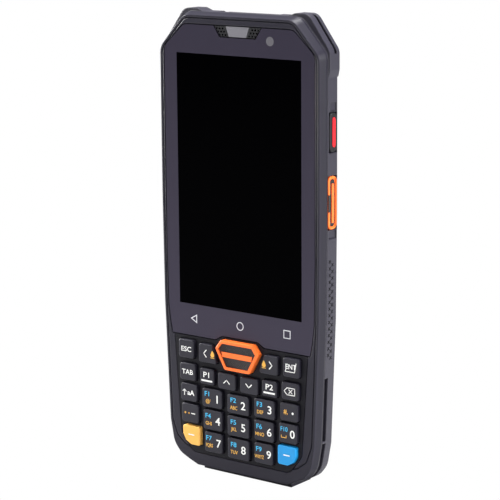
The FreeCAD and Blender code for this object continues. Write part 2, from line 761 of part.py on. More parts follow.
# The plate round the keys, with one hole for each key
keypad_plate = new_body("keypad_plate")
pad(keypad_plate, "XZ", depth(0), plate_thick, plate_outline)
holes = [outline(key_gap) for outline in keys.values()] + [key_scan_outline(key_gap)]
pocket(keypad_plate, "XZ", depth(-tiny), plate_thick + tiny * 2, *holes)
round_corners(keypad_plate, [corner for hole in holes for corner in hole], key_round)

# The rubber mat and the contact board behind the keys
mat_outline = grown(plate_outline, -(flange_wide + rest_gap))
keypad_mat = new_body("keypad_mat")
pad(keypad_mat, "XZ", depth(key_mat_front), mat_thick, mat_outline)
keypad_board = new_body("keypad_board")
board_start = key_mat_front + mat_thick
pad(keypad_board, "XZ", depth(board_start), frame_front - board_start, mat_outline)

# The glass with its notch for the speaker and its step over the scan key
touch_glass = new_body("touch_glass")
pad(touch_glass, "XZ", depth(0), glass_thick, glass_outline)

# The display behind the glass, and the gasket that holds the glass
display_foot = active_top - active_height - display_tail
display_box = box(-active_half - display_margin, active_half + display_margin,
                  display_foot, active_top + display_margin)
display_module = new_body("display_module")
pad(display_module, "XZ", depth(glass_thick + rest_gap),
    frame_front - glass_thick - rest_gap, display_box)
window_box = grown(display_box, battery_gap)
glass_gasket = new_body("glass_gasket")
pad(glass_gasket, "XZ", depth(glass_thick), tape_thick,
    grown(display_box, battery_gap + tape_wide), window_box)

# The front housing: a drafted frame on a straight band at the seam
def drafted(body, near, far, near_depth, far_depth):
    """Loft between two outlines with matching corners."""
    one = new_sketch(body, "XZ", near_depth)
    add_polygons(one, [near])
    two = new_sketch(body, "XZ", far_depth)
    add_polygons(two, [far])
    loft = body.newObject("PartDesign::AdditiveLoft", "Drafted")
    loft.Profile = one
    loft.Sections = [two]
    loft.Ruled = True
    doc.recompute([one, two, loft])


front_housing = new_body("front_housing")
band = seam_depth - seam_band
pad(front_housing, "XZ", depth(band), seam_band, case_outline)
drafted(front_housing, front_outline, case_outline, depth(0), depth(band))
ledge = glass_thick + tape_thick
glass_seat = grown(glass_outline, glass_gap)
plain_glass_seat = glass_seat[1:-1]
plate_seat = grown(plate_outline, plate_gap)
pocket(front_housing, "XZ", depth(-tiny), ledge + tiny, plain_glass_seat)
pocket(front_housing, "XZ", depth(-tiny), seam_depth + tiny * 2, window_box)
pocket(front_housing, "XZ", depth(-tiny), plate_thick + tiny, plate_seat)
pocket(front_housing, "XZ", depth(-tiny), seam_depth + tiny * 2,
       grown(plate_outline, -flange_wide + rest_gap))
groove_outline = grown(both_sides(front_half[:5] + [
    (chin_half - corner_reach * 2 / 3, groove_foot + corner_step * 1.2),
    (chin_half - corner_reach * 3 / 2, groove_foot + corner_step / 2),
    (foot_half, groove_foot),
]), -groove_in)
pocket(front_housing, "XZ", depth(-tiny), groove_deep + tiny,
       groove_outline, grown(groove_outline, -groove_wide))

# The speaker grille with its holes, and the status light between them
notch_top = glass_top
notch_low = glass_top - notch_deep
grille_outline = both_sides([
    (notch_half - glass_gap, notch_top),
    (notch_low_half - glass_gap, notch_low + glass_gap),
])
lens_outline = both_sides([
    (lens_top_half, notch_top),
    (lens_low_half, notch_low + glass_gap),
])
grille_back = ledge - rest_gap
speaker_grille = new_body("speaker_grille")
pad(speaker_grille, "XZ", depth(grille_gap), grille_back - grille_gap, grille_outline)
pocket(speaker_grille, "XZ", depth(-tiny), grille_back + tiny * 2,
       grown(lens_outline, grille_gap))
grille_holes = []
for row in range(3):
    for column in range(3):
        x = lens_top_half + grille_row * 1.25 + grille_pitch * column - grille_pitch * row / 2
        z = notch_top - grille_row * (row + 0.75)
        grille_holes += [((x, z), grille_hole), ((-x, z), grille_hole)]
pocket(speaker_grille, "XZ", depth(-tiny), grille_back + tiny * 2, circles=grille_holes)
status_light_lens = new_body("status_light_lens")
pad(status_light_lens, "XZ", depth(grille_gap), grille_back - grille_gap, lens_outline)

# The earpiece behind the grille, and the front camera behind the glass
earpiece = new_body("earpiece")
ear_top = notch_top - ear_tall / 4
pad(earpiece, "XZ", depth(ledge), frame_front - ledge, box(-ear_half, ear_half, ear_top - ear_tall, ear_top))
front_camera = new_body("front_camera")
pad(front_camera, "XZ", depth(glass_thick + rest_gap), frame_front - glass_thick - rest_gap,
    circles=[((camera_x, camera_z), camera_barrel)])

# Room for the earpiece and camera in the front housing
pocket(front_housing, "XZ", depth(-tiny), seam_depth + tiny * 2,
       box(-ear_half - battery_gap, camera_x + camera_barrel + battery_gap,
           active_top, ear_top + battery_gap))

# The chassis plate that carries the display, the keypad and the boards
mid_frame = new_body("mid_frame")
frame_back = frame_front + frame_thick
pad(mid_frame, "XZ", depth(frame_front), frame_thick, grown(case_outline, -(wall + frame_space)))
screw_places = [
    (screw_top_side, screw_top),
    (-screw_top_side, screw_top),
    (screw_side, screw_foot),
    (-screw_side, screw_foot),
]
board_back = frame_back + board_lift + board_thick
boss_back = shallow_back - rest_gap
pad(mid_frame, "XZ", depth(frame_back), boss_back - frame_back,
    circles=[(place, boss_radius) for place in screw_places])
pocket(mid_frame, "XZ", depth(frame_front - tiny), boss_back - frame_front + tiny * 2,
       circles=[(place, screw_shank + contact_gap) for place in screw_places])
post_places = [
    (board_half - tiny * 3, board_tail_top + tiny * 3),
    (board_half - tiny * 3, board_top - tiny * 12),
]
pad(mid_frame, "XZ", depth(frame_back), board_lift,
    circles=[(place, boss_radius / 2) for place in pair(post_places)])

# The main board and its shield cans
main_board = new_body("main_board")
pad(main_board, "XZ", depth(frame_back + board_lift), board_thick, both_sides([
    (board_half, board_top),
    (board_half, board_tail_top),
    (board_tail_half, board_tail_top),
    (board_tail_half, board_foot),
]))
shield_cans = new_body("shield_cans")
can_low = deep_foot + can_thick
can_high = speaker_z + speaker_tall * 3
pad(shield_cans, "XZ", depth(board_back), can_thick,
    box(-board_half * 0.8, -can_thick, can_low, can_high),
    box(can_thick, board_half * 0.45, can_low + speaker_tall, can_high - can_thick))

# The rear housing: straight walls, then flanks that slope to the back face
rear_front = seam_depth + seam_gap
back_half = [
    (corner_in - back_slope / 2, case_top - top_slope, big_round),
    (half_width - back_slope, corner_down - top_slope, big_round),
    (half_width - back_slope, waist_high),
    (waist_half - back_slope, waist_low),
    (chin_half - back_slope, chin_height, back_round),
    (chin_half - corner_reach / 3 - back_slope, chin_height - corner_step * 1.7, back_round),
    (chin_half - corner_reach * 2 / 3 - back_slope, chin_height - corner_step * 2.6, back_round),
    (chin_half - corner_reach * 1.6 - back_slope, foot_step * 2 + foot_slope / 3, back_round),
    (chin_half - corner_reach * 2 - back_slope, foot_step + foot_slope / 4),
]
back_outline = both_sides(back_half)
rear_housing = new_body("rear_housing")
pad(rear_housing, "XZ", depth(rear_front), flank_depth - rear_front, case_outline)
drafted(rear_housing, case_outline, back_outline, depth(flank_depth), depth(body_depth))

# The foot block and the two corner bumpers
pad(rear_housing, "XZ", depth(rear_front), foot_back - rear_front,
    box(-foot_half, foot_half, 0, foot_step + foot_seat))
for side in (1, -1):
    bumper = [
        (side * bumper_start, case_top - wall),
        (side * bumper_start, case_top),
        (side * (bumper_start + bumper_slope), case_top + bumper_top),
        (side * bumper_turn, case_top + bumper_top, bumper_round),
        (side * (half_width + bumper_out), corner_down + bumper_top, bumper_round),
        (side * (half_width + bumper_out), bumper_foot + bumper_slope),
        (side * half_width, bumper_foot),
        (side * (half_width - wall), bumper_foot),
        (side * (half_width - wall), corner_down - wall),
        (side * corner_in, case_top - wall * 2),
    ]
    pad(rear_housing, "XZ", depth(bumper_front), bumper_back - bumper_front, bumper)
    groove = [
        (side * (bumper_turn + bumper_out), case_top + bumper_top * 2),
        (side * (half_width + bumper_top * 2), corner_down + bumper_out * 2),
        (side * (half_width + bumper_out - lanyard_deep), corner_down - lanyard_width),
        (side * (bumper_turn - lanyard_width), case_top + bumper_top - lanyard_deep),
    ]
    pocket(rear_housing, "XZ", depth(lanyard_front), lanyard_width, groove)

# The chambers: shallow over the whole case, deep behind the upper board
inner_outline = grown(case_outline, -wall)
pocket(rear_housing, "XZ", depth(rear_front - tiny), shallow_back - rear_front + tiny,
       inner_outline)
side_chamber = box(-half_width + wall, half_width - wall, trigger_foot - button_flange - button_gap,
                   rocker_top + button_flange + button_gap)
pocket(rear_housing, "XZ", depth(rear_front - tiny), side_back - rear_front + tiny, side_chamber)
deep_back = body_depth - back_wall
pocket(rear_housing, "XZ", depth(rear_front - tiny), deep_back - rear_front + tiny,
       box(-deep_half, deep_half, deep_foot, deep_top))
bay_box = box(-bay_half, bay_half, bay_foot, bay_top)
bay_front = shallow_back + bay_floor
cover_box = grown(bay_box, cover_lip)
pocket(rear_housing, "XZ", depth(bay_front), body_depth - bay_front + tiny, bay_box)
cover_front = body_depth - cover_thick
pocket(rear_housing, "XZ", depth(cover_front), cover_thick + tiny, cover_box)

# The scan window's opening, the camera's and the loudspeaker's
engine_top = case_top - window_sunk - window_thick - rest_gap
pocket(rear_housing, "XZ", depth(window_front), window_back - window_front,
       box(-window_half, window_half, deep_top - tiny, case_top + bumper_top))
pocket(rear_housing, "XZ", depth(deep_back - tiny), back_wall + tiny * 2,
       circles=[((0, rear_camera_z), rear_camera_radius + battery_gap)])
window_seat = box(-rear_window_half, rear_window_half,
                  rear_camera_z - rear_window_tall / 2, rear_camera_z + rear_window_tall / 2)
pocket(rear_housing, "XZ", depth(body_depth - rear_window_thick), rear_window_thick + tiny, window_seat)
slots = []
for i in range(slot_count):
    z = speaker_z + slot_pitch * (i - (slot_count - 1) / 2)
    slots.append(box(speaker_x - slot_half, speaker_x + slot_half, z - slot_wide / 2, z + slot_wide / 2))
pocket(rear_housing, "XZ", depth(deep_back - tiny), back_wall + tiny * 2, *slots)

# The side buttons' openings, the scoops beside them and the cradle groove
power_box = box(button_front, button_back, power_foot, power_top)
trigger_box = box(trigger_front, button_back, trigger_foot, trigger_top)
rocker_box = box(button_front, button_back, rocker_foot, rocker_top)


def face_box(outline):
    """An outline on a side wall, given as depths and heights."""
    return [(depth(a), b) for a, b in outline]


def side_cut(side, start, length, *outlines):
    """Cut outlines on a side wall from start inside it to start + length."""
    begin = start if side > 0 else -(start + length)
    return pocket(rear_housing, "YZ", begin, length, *[face_box(o) for o in outlines])


opening = half_width - wall - tiny
side_cut(1, opening, wall + tiny * 3, grown(power_box, button_gap), grown(trigger_box, button_gap))
side_cut(-1, opening, wall + tiny * 3, grown(rocker_box, button_gap), grown(trigger_box, button_gap))
for side in (1, -1):
    side_cut(side, half_width - scoop_deep, scoop_deep + tiny,
             box(trigger_front + scoop_deep, button_back,
                 trigger_foot - scoop_tall, trigger_foot - button_gap * 2))
side_cut(1, half_width - scoop_deep, scoop_deep + tiny,
         box(button_front + scoop_deep, button_back, power_top + button_gap * 2, power_top + scoop_tall))
for side in (1, -1):
    rail_inside = chin_half - rail_deep
    upper_rail = [
        (side * rail_inside, rail_bridge + rail_bridge_tall),
        (side * (rail_inside + rail_lean), rail_top),
        (side * half_width * 2, rail_top),
        (side * half_width * 2, rail_bridge + rail_bridge_tall),
    ]
    lower_rail = [
        (side * rail_inside, rail_bridge),
        (side * (rail_inside - corner_reach / 3), chin_height - corner_step * 2),
        (side * (rail_inside - corner_reach), chin_height - corner_step * 3),
        (side * half_width * 2, 0),
        (side * half_width * 2, rail_bridge),
    ]
    pocket(rear_housing, "XZ", depth(rear_front - tiny), rail_wide + tiny, upper_rail)
    pocket(rear_housing, "XZ", depth(rear_front - tiny), rail_wide + tiny, lower_rail)

# The port's tunnel, the flap's seat, the pin's seats, contacts and screws
port_front = board_back + rest_gap
port_box = box(-port_half, port_half, port_foot, port_foot + port_long)
pocket(rear_housing, "XZ", depth(shallow_back - tiny),
       port_front + port_high + battery_gap - shallow_back + tiny,
       box(-port_half - battery_gap, port_half + battery_gap, 0, port_foot + port_long + battery_gap))
flap_back = hinge_y + knuckle_radius + flap_gap
pocket(rear_housing, "XY", -tiny, flap_sunk + flap_thick + flap_gap + tiny,
       box(-flap_half - flap_gap, flap_half + flap_gap, depth(flap_front - flap_gap), depth(flap_back)))
hinge_z = flap_sunk + knuckle_radius
knuckle_room = knuckle_radius + flap_gap
pocket(rear_housing, "YZ", -flap_half - flap_gap, (flap_half + flap_gap) * 2,
       circles=[((depth(hinge_y), hinge_z), knuckle_room)])
pin_half = flap_half + flap_gap + pin_seat
pocket(rear_housing, "YZ", -pin_half, pin_half * 2,
       circles=[((depth(hinge_y), hinge_z), pin_radius + pin_gap / 2)])
contact_places = [
    (side * (contact_x + contact_pitch * i), depth(contact_y))
    for i in (0, 1) for side in (1, -1)
]
pocket(rear_housing, "XY", -tiny, contact_sunk + contact_long + tiny,
       circles=[(place, contact_radius + contact_gap) for place in contact_places])
head_front = body_depth - screw_sunk - screw_tall
pocket(rear_housing, "XZ", depth(shallow_back - tiny), body_depth - shallow_back + tiny * 2,
       circles=[(place, screw_shank + contact_gap) for place in screw_places])
pocket(rear_housing, "XZ", depth(head_front), body_depth - head_front + tiny,
       circles=[(place, screw_head + contact_gap * 2) for place in screw_places])

# The port, its flap with the knuckle, and the flap's pin
usb_port = new_body("usb_port")
pad(usb_port, "XZ", depth(port_front), port_high, port_box)
round_corners(usb_port, port_box, port_wall)
pocket(usb_port, "XZ", depth(port_front + port_wall), port_high - port_wall * 2,
       box(-port_half + port_wall, port_half - port_wall,
           port_foot - tiny, port_foot + port_long - port_wall))
pad(usb_port, "XZ", depth(port_front + port_high / 2 - port_wall), port_wall * 2,
    box(-port_half * 0.75, port_half * 0.75, port_foot + port_wall, port_foot + port_long - port_wall))
usb_flap = new_body("usb_flap")
pad(usb_flap, "XY", flap_sunk, flap_thick,
    box(-flap_half, flap_half, depth(flap_front), depth(hinge_y)))
pad(usb_flap, "YZ", -flap_half, flap_half * 2, circles=[((depth(hinge_y), hinge_z), knuckle_radius)])
pocket(usb_flap, "YZ", -flap_half - tiny, (flap_half + tiny) * 2,
       circles=[((depth(hinge_y), hinge_z), pin_radius + pin_gap)])
usb_flap_pin = new_body("usb_flap_pin")
pad(usb_flap_pin, "YZ", -pin_half, pin_half * 2, circles=[((depth(hinge_y), hinge_z), pin_radius)])

# Contacts, screws, battery, cover and latch
charging_contacts = new_body("charging_contacts")
pad(charging_contacts, "XY", contact_sunk, contact_long,
    circles=[(place, contact_radius) for place in contact_places])
housing_screws = new_body("housing_screws")
pad(housing_screws, "XZ", depth(frame_back), head_front - frame_back,
    circles=[(place, screw_shank) for place in screw_places])
pad(housing_screws, "XZ", depth(head_front), screw_tall,
    circles=[(place, screw_head) for place in screw_places])
battery_pack = new_body("battery_pack")
battery_back = cover_front - rest_gap
pad(battery_pack, "XZ", depth(bay_front + rest_gap), battery_back - bay_front - rest_gap,
    grown(bay_box, -battery_gap))
round_corners(battery_pack, grown(bay_box, -battery_gap), key_round)
battery_cover = new_body("battery_cover")
pad(battery_cover, "XZ", depth(cover_front), cover_thick, grown(cover_box, -cover_gap))
latch_box = box(-latch_half, latch_half, latch_foot, latch_foot + latch_tall)
latch_room = box(-latch_half - cover_gap, latch_half + cover_gap, latch_foot - cover_gap,
                 latch_foot + latch_tall + latch_travel + cover_gap)
pocket(battery_cover, "XZ", depth(body_depth - latch_deep), latch_deep + tiny, latch_room)
battery_latch = new_body("battery_latch")
pad(battery_latch, "XZ", depth(body_depth - latch_deep + rest_gap), latch_deep - rest_gap, latch_box)

# Scanner, rear camera, loudspeaker and vibration motor
scan_window = new_body("scan_window")
pad(scan_window, "XY", case_top - window_sunk - window_thick, window_thick,
    box(-window_half + rest_gap, window_half - rest_gap,
        depth(window_front + rest_gap), depth(window_back - rest_gap)))
scan_engine = new_body("scan_engine")
pad(scan_engine, "XY", engine_top - engine_tall, engine_tall,
    box(-engine_half, engine_half, depth(window_front + battery_gap), depth(window_back - battery_gap)))
rear_camera = new_body("rear_camera")
camera_start = board_back + rest_gap
camera_end = body_depth - rear_window_thick - rest_gap
pad(rear_camera, "XZ", depth(camera_start), camera_end - camera_start,
    circles=[((0, rear_camera_z), rear_camera_radius)])
rear_camera_window = new_body("rear_camera_window")
pad(rear_camera_window, "XZ", depth(body_depth - rear_window_thick), rear_window_thick,
    grown(window_seat, -cover_gap))
loudspeaker = new_body("loudspeaker")
pad(loudspeaker, "XZ", depth(deep_back - rest_gap - speaker_thick), speaker_thick,
    box(speaker_x - speaker_half, speaker_x + speaker_half,
        speaker_z - speaker_tall, speaker_z + speaker_tall))
vibration_motor = new_body("vibration_motor")
motor_centre = board_back + rest_gap + motor_radius
pad(vibration_motor, "XY", motor_z, motor_length, circles=[((-motor_x, depth(motor_centre)), motor_radius)])

# Side buttons: a cap in the wall, and a flange inside it
def make_button(label, side, outline, space, ring=None):
    body = new_body(label)
    inside = half_width - wall - space - flange_thick
    length = half_width + button_proud - inside
    begin = inside if side > 0 else -(inside + length)
    pad(body, "YZ", begin, length, face_box(outline))
    corners = [(as_size(a).value, as_size(b).value) for a, b in face_box(outline)]

    def test(p, q):
        along = close_to(p.y, q.y) and close_to(p.z, q.z)
        return along and any(close_to(p.y, a) and close_to(p.z, b) for a, b in corners)

    soften(body, "Fillet", matching(body, test), button_round)
    face_x = side * (half_width + button_proud)
    round_face(body, "x", face_x, button_edge)
    if ring is not None:
        dish = half_width + button_proud - trigger_dish
        start = dish if side > 0 else -(dish + trigger_dish)
        pocket(body, "YZ", start, trigger_dish, face_box(grown(outline, -ring)))
    (left, top), (right, _), (_, low), _ = outline
    start = inside if side > 0 else -(inside + flange_thick)
    pad(body, "YZ", start, flange_thick,
        face_box(box(left, right, low - button_flange, top + button_flange)))


make_button("power_button", 1, power_box, rest_gap)
make_button("scan_button_right", 1, trigger_box, rest_gap, trigger_ring)
make_button("scan_button_left", -1, trigger_box, rest_gap, trigger_ring)
make_button("volume_rocker", -1, rocker_box, rest_gap)

doc.recompute()
os.makedirs("parts", exist_ok=True)
for body in made:
    if "Invalid" in body.State or "Error" in body.State:
        raise RuntimeError(body.Label + " did not build")
    for item in body.Group:
        if "Invalid" in item.State or "Error" in item.State:
            raise RuntimeError(body.Label + ": " + item.Name + " did not build")
    shape = body.Shape
    if shape.isNull() or not shape.isValid():
        raise RuntimeError(body.Label + " is not a sound solid")
for body in made:
    body.Shape.exportStep("parts/%s.step" % body.Label)
    print(body.Label, round(body.Shape.Volume, 1), len(body.Shape.Solids))
print(len(made), "sub-parts")
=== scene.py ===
# %% [markdown]
# # A handheld data terminal
#
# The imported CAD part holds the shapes: two housings, glass, keys, boards, battery and their joints.
# This script dresses it. It adds what the solids do not hold: finishes, the legends printed on the
# keys, the icons on the glass, the pads of the buttons, small marks, light and a camera.
#
# Blender works in metres. The distances below are millimetres, and are multiplied by `MM` on their
# way in. The terminal stands on its foot at z = 0 with its display towards -Y, so x runs to the
# right of a person who looks at the display.

# %% Load the frame
import math
import bpy
import numpy as np
from mathutils import Matrix, Vector
from mathutils.bvhtree import BVHTree


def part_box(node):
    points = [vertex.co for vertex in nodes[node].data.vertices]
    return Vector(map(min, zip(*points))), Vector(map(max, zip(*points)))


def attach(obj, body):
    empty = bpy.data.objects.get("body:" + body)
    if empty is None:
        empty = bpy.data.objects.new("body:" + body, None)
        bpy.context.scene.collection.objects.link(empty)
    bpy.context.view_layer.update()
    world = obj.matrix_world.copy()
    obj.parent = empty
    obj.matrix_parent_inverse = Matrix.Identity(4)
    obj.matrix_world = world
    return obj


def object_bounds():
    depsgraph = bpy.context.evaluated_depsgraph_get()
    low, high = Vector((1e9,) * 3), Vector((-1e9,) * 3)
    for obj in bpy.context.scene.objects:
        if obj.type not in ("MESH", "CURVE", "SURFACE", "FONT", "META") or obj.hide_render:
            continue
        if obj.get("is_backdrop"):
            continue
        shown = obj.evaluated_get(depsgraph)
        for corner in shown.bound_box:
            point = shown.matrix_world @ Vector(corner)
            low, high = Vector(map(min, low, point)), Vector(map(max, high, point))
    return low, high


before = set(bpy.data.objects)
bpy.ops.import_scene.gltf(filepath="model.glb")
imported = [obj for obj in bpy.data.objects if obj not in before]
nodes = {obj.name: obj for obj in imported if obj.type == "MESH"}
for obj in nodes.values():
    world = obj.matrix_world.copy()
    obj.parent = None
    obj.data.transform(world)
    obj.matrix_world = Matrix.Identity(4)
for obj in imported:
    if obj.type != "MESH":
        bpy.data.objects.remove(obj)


def size_report(stage_name, sizes):
    """Adds the lowest and the highest corner of all that shows, under the name of a stage."""
    low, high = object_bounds()
    sizes[stage_name] = [list(low), list(high)]
    return sizes


sizes = size_report("loaded", {})
print(len(nodes), "CAD nodes")

# %% Faces that the new pieces sit on
MM = 0.001
GLASS_Y = -7.75
KEY_Y = GLASS_Y - 1.4
PICTURE_TOP = 147.0
print("glass front at", GLASS_Y, "mm, key fronts at", KEY_Y, "mm")


# %% [markdown]
# ## Shader sums written as sums
#
# A material in Blender is a graph of nodes. A formula such as `noise * 0.2 + 0.4` takes two Math
# nodes and three links, and the meaning gets lost among them. Here a `Tone` wraps one number
# socket, so the formula is written as a formula and the nodes follow from it. Colours never go
# through a Tone, because a Math node would turn them grey: they go through a Mix node.
#
# Every other node comes from `Recipe.node`, which sets its settings first, because some of them
# change which sockets the node has.

# %% A recipe of nodes, and a number inside it
class Recipe:
    """The nodes of a material or of the world."""

    def __init__(self, tree):
        self.tree = tree

    def feed(self, socket, value):
        """Sets a socket to a value, or links it to a Tone or to another node's socket."""
        source = getattr(value, "socket", value)
        if isinstance(source, bpy.types.NodeSocket):
            self.tree.links.new(source, socket)
        else:
            socket.default_value = source

    def node(self, kind, settings=None, sockets=None):
        """A node of that kind: its settings first, then a value or a link for each socket."""
        made = self.tree.nodes.new(kind)
        for name, value in (settings or {}).items():
            setattr(made, name, value)
        for key, value in (sockets or {}).items():
            self.feed(made.inputs[key], value)
        return made


class Tone:
    """A number that a shader works out at each point. Arithmetic on it adds Math nodes."""

    def __init__(self, recipe, socket):
        self.recipe = recipe
        self.socket = socket

    def combine(self, operation, first, second=0.0):
        """One Math node: the operation, on the first number and the second."""
        made = self.recipe.node("ShaderNodeMath", {"operation": operation}, {0: first, 1: second})
        return Tone(self.recipe, made.outputs[0])

    def __add__(self, other):
        return self.combine("ADD", self, other)

    def __radd__(self, other):
        return self.combine("ADD", other, self)

    def __sub__(self, other):
        return self.combine("SUBTRACT", self, other)

    def __rsub__(self, other):
        return self.combine("SUBTRACT", other, self)

    def __mul__(self, other):
        return self.combine("MULTIPLY", self, other)

    def __rmul__(self, other):
        return self.combine("MULTIPLY", other, self)

    def above(self, level):
        """1 where the number is above the level, and 0 elsewhere."""
        return self.combine("GREATER_THAN", self, level)

    def below(self, level):
        """1 where the number is below the level, and 0 elsewhere."""
        return self.combine("LESS_THAN", self, level)

    def size(self):
        """The number without its sign."""
        return self.combine("ABSOLUTE", self)

    def zigzag(self, height):
        """The number folded up and down between 0 and the height, as a row of ridges."""
        return self.combine("PINGPONG", self, height)

    def ramp(self, low, high, start, end):
        """From start to end in a straight line, while the number goes from low to high."""
        limits = {"From Min": low, "From Max": high, "To Min": start, "To Max": end}
        made = self.recipe.node("ShaderNodeMapRange", sockets={"Value": self, **limits})
        return Tone(self.recipe, made.outputs[0])


print("recipe and tone ready")

# %% [markdown]
# A finish is a recipe with one Principled shader. Its patterns read Object coordinates, which are
# metres measured on the piece itself. They stay with the piece when its joint moves, and grain has
# one size on a small key and on the large housing, which Generated coordinates would not give.

# %% A finish
CLEAR_COAT_ROUGHNESS = 0.06
EDGE_SAMPLES = 6


class Finish(Recipe):
    """A material with one Principled shader and its patterns in Object coordinates."""

    def __init__(self, name, colour, roughness=0.5, metallic=0.0, coat=0.0, specular=0.5):
        self.material = bpy.data.materials.new(name)
        self.material.use_nodes = True
        super().__init__(self.material.node_tree)
        self.shader = self.tree.nodes["Principled BSDF"]
        self.drive("Base Color", (*colour, 1.0))
        self.drive("Roughness", roughness)
        self.drive("Metallic", metallic)
        self.drive("Coat Weight", coat)
        self.drive("Coat Roughness", CLEAR_COAT_ROUGHNESS)
        self.drive("Specular IOR Level", specular)
        self.place = self.node("ShaderNodeTexCoord").outputs["Object"]
        split = self.node("ShaderNodeSeparateXYZ", sockets={0: self.place})
        self.x, self.y, self.z = [Tone(self, out) for out in split.outputs]

    def drive(self, name, value):
        """Sets or links one socket of the shader."""
        self.feed(self.shader.inputs[name], value)

    def noise(self, scale, detail=3.0):
        """Cloudy noise from 0 to 1, with about that many clouds to the metre."""
        sockets = {"Scale": scale, "Detail": detail, "Vector": self.place}
        return Tone(self, self.node("ShaderNodeTexNoise", sockets=sockets).outputs["Fac"])

    def blend(self, tone, first, second):
        """A colour that goes from the first to the second while the tone goes from 0 to 1."""
        made = self.node("ShaderNodeMix", {"data_type": "RGBA"}, {0: tone, 6: first, 7: second})
        return made.outputs[2]

    def tint(self, tone, dark, light):
        """The blend of two colours as the shader's colour."""
        self.drive("Base Color", self.blend(tone, (*dark, 1.0), (*light, 1.0)))

    def bump(self, tone, height, strength=0.6, edge=0.0):
        """Relief from a tone. An edge above zero also shades sharp edges as if rounded to it."""
        sockets = {"Strength": strength, "Distance": height, "Height": tone}
        if edge:
            soft = self.node("ShaderNodeBevel", {"samples": EDGE_SAMPLES}, {"Radius": edge})
            sockets["Normal"] = soft.outputs["Normal"]
        self.drive("Normal", self.node("ShaderNodeBump", sockets=sockets).outputs["Normal"])


print("finish ready")


# %% [markdown]
# ## Moulded plastics
#
# The case, keys and buttons are injection moulded. The steel of the mould is spark eroded, which
# leaves a fine grain on the plastic. Real grain could be cut into the mesh, but it would take
# millions of triangles for relief of a few hundredths of a millimetre. A bump from fine noise does
# it. A second, slow noise lets the gloss and the colour drift a little, because an even grey looks
# like paint rather than plastic.
#
# The two housings also have small rounded edges that the solids leave sharp. A Bevel node shades
# them as rounded, which is cheaper than a bevel on a mesh of loose triangles.

# %% Moulded finish
SLOW_CLOUDS = 70.0
DARKER, LIGHTER = 0.93, 1.07


def moulded(name, colour, roughness, grain=2600.0, height=0.000035, drift=0.06, specular=0.25,
            edge=0.0, mottled=True):
    """Plastic with a grain. Roughness is the given one plus or minus the drift, by a slow noise.
    Where it is mottled, the colour goes by the same noise from 7 % darker to 7 % lighter. Height is
    the grain's, in metres, and 0 leaves the relief to the caller."""
    finish = Finish(name, colour, roughness, specular=specular)
    slow = finish.noise(SLOW_CLOUDS, 4.0)
    if mottled:
        finish.tint(slow, [c * DARKER for c in colour], [min(1.0, c * LIGHTER) for c in colour])
    finish.drive("Roughness", slow * (2 * drift) + (roughness - drift))
    if height:
        finish.bump(finish.noise(grain, 2.0), height, edge=edge)
    return finish


print("moulded finish ready")

# %% [markdown]
# The front housing's colour changes from the rim round the glass, painted bright as a highlight,
# to the band behind it, painted slightly darker as shade. One solid carries both, so the colour
# follows the depth behind the glass.

# %% Housings and keypad plate
PAINTED_HIGHLIGHT_END, PAINTED_SHADE_START = 0.5, 1.0
case = moulded("case grain", (0.0125, 0.0114, 0.0190), 0.40, specular=0.20, edge=0.55 * MM,
               mottled=False)
# Painted highlight on the rim round the glass, painted shade on the band behind it.
painted_rim_light_to_band_shade = case.y.ramp((GLASS_Y + PAINTED_HIGHLIGHT_END) * MM, (GLASS_Y + PAINTED_SHADE_START) * MM, 0.0, 1.0)
case.tint(painted_rim_light_to_band_shade, (0.0165, 0.0150, 0.0250), (0.0130, 0.0120, 0.0200))
rear = moulded("rear grain", (0.0230, 0.0212, 0.0330), 0.46, 2000.0, 0.00005, specular=0.35,
               edge=0.7 * MM)
plate = moulded("keypad plate grain", (0.0050, 0.0046, 0.0078), 0.52, specular=0.15)
print("housing finishes ready")

# %% Keys, buttons and soft parts
SATIN = {"grain": 3000.0, "height": 0.00002}
keycap = moulded("keycap satin", (0.0150, 0.0140, 0.0225), 0.46, **SATIN)
yellow = moulded("yellow keycap", (0.86, 0.46, 0.10), 0.42, **SATIN)
blue = moulded("blue keycap", (0.012, 0.27, 0.62), 0.42, **SATIN)
orange = moulded("orange ring", (1.0, 0.17, 0.028), 0.42, 2800.0, 0.00002)
red = moulded("red bar", (0.66, 0.010, 0.018), 0.34, 2600.0, 0.00002)
button_dark = moulded("dark button", (0.008, 0.008, 0.010), 0.45)
# A dark colour as painted shade, standing for the shade inside the pressed-in knurl marks.
knurl_painted_shade = moulded("knurl shade", (0.0035, 0.0032, 0.0050), 0.7)
flap_rubber = moulded("flap rubber", (0.009, 0.009, 0.010), 0.72, 1600.0, 0.00006)
module = moulded("module plastic", (0.010, 0.010, 0.012), 0.5)
wrap = moulded("battery wrap", (0.018, 0.018, 0.021), 0.6)
mask = moulded("solder mask", (0.010, 0.085, 0.040), 0.35, 900.0)
foam = moulded("foam tape", (0.010, 0.010, 0.010), 0.9, 1200.0, 0.00008)
status = moulded("status lens", (0.175, 0.170, 0.190), 0.38, 1500.0, 0.00002)
print("small moulded finishes ready")

# %% [markdown]
# ## Glass
#
# The cover glass is one sheet. Behind it the switched-off display is black, and a printed grey
# border runs round it. The display and the print could be sheets of their own behind clear glass,
# but a thin clear sheet renders slowly and with noise. So one glossy surface takes its colour from
# where it is: black inside the picture's rectangle, grey outside it. The border is a little
# lighter towards its foot, as in the photograph; this lighter foot is painted light.

# %% Cover glass
PICTURE_HALF = 26.135
PICTURE_TALL = 87.12
BORDER_HIGH = (0.0370, 0.0330, 0.0490, 1.0)
# Painted light: the border's colour at its foot, lighter than at its top.
BORDER_FOOT_PAINTED_LIGHT = (0.0500, 0.0450, 0.0640, 1.0)
PICTURE_BLACK = (0.0003, 0.0003, 0.0005, 1.0)


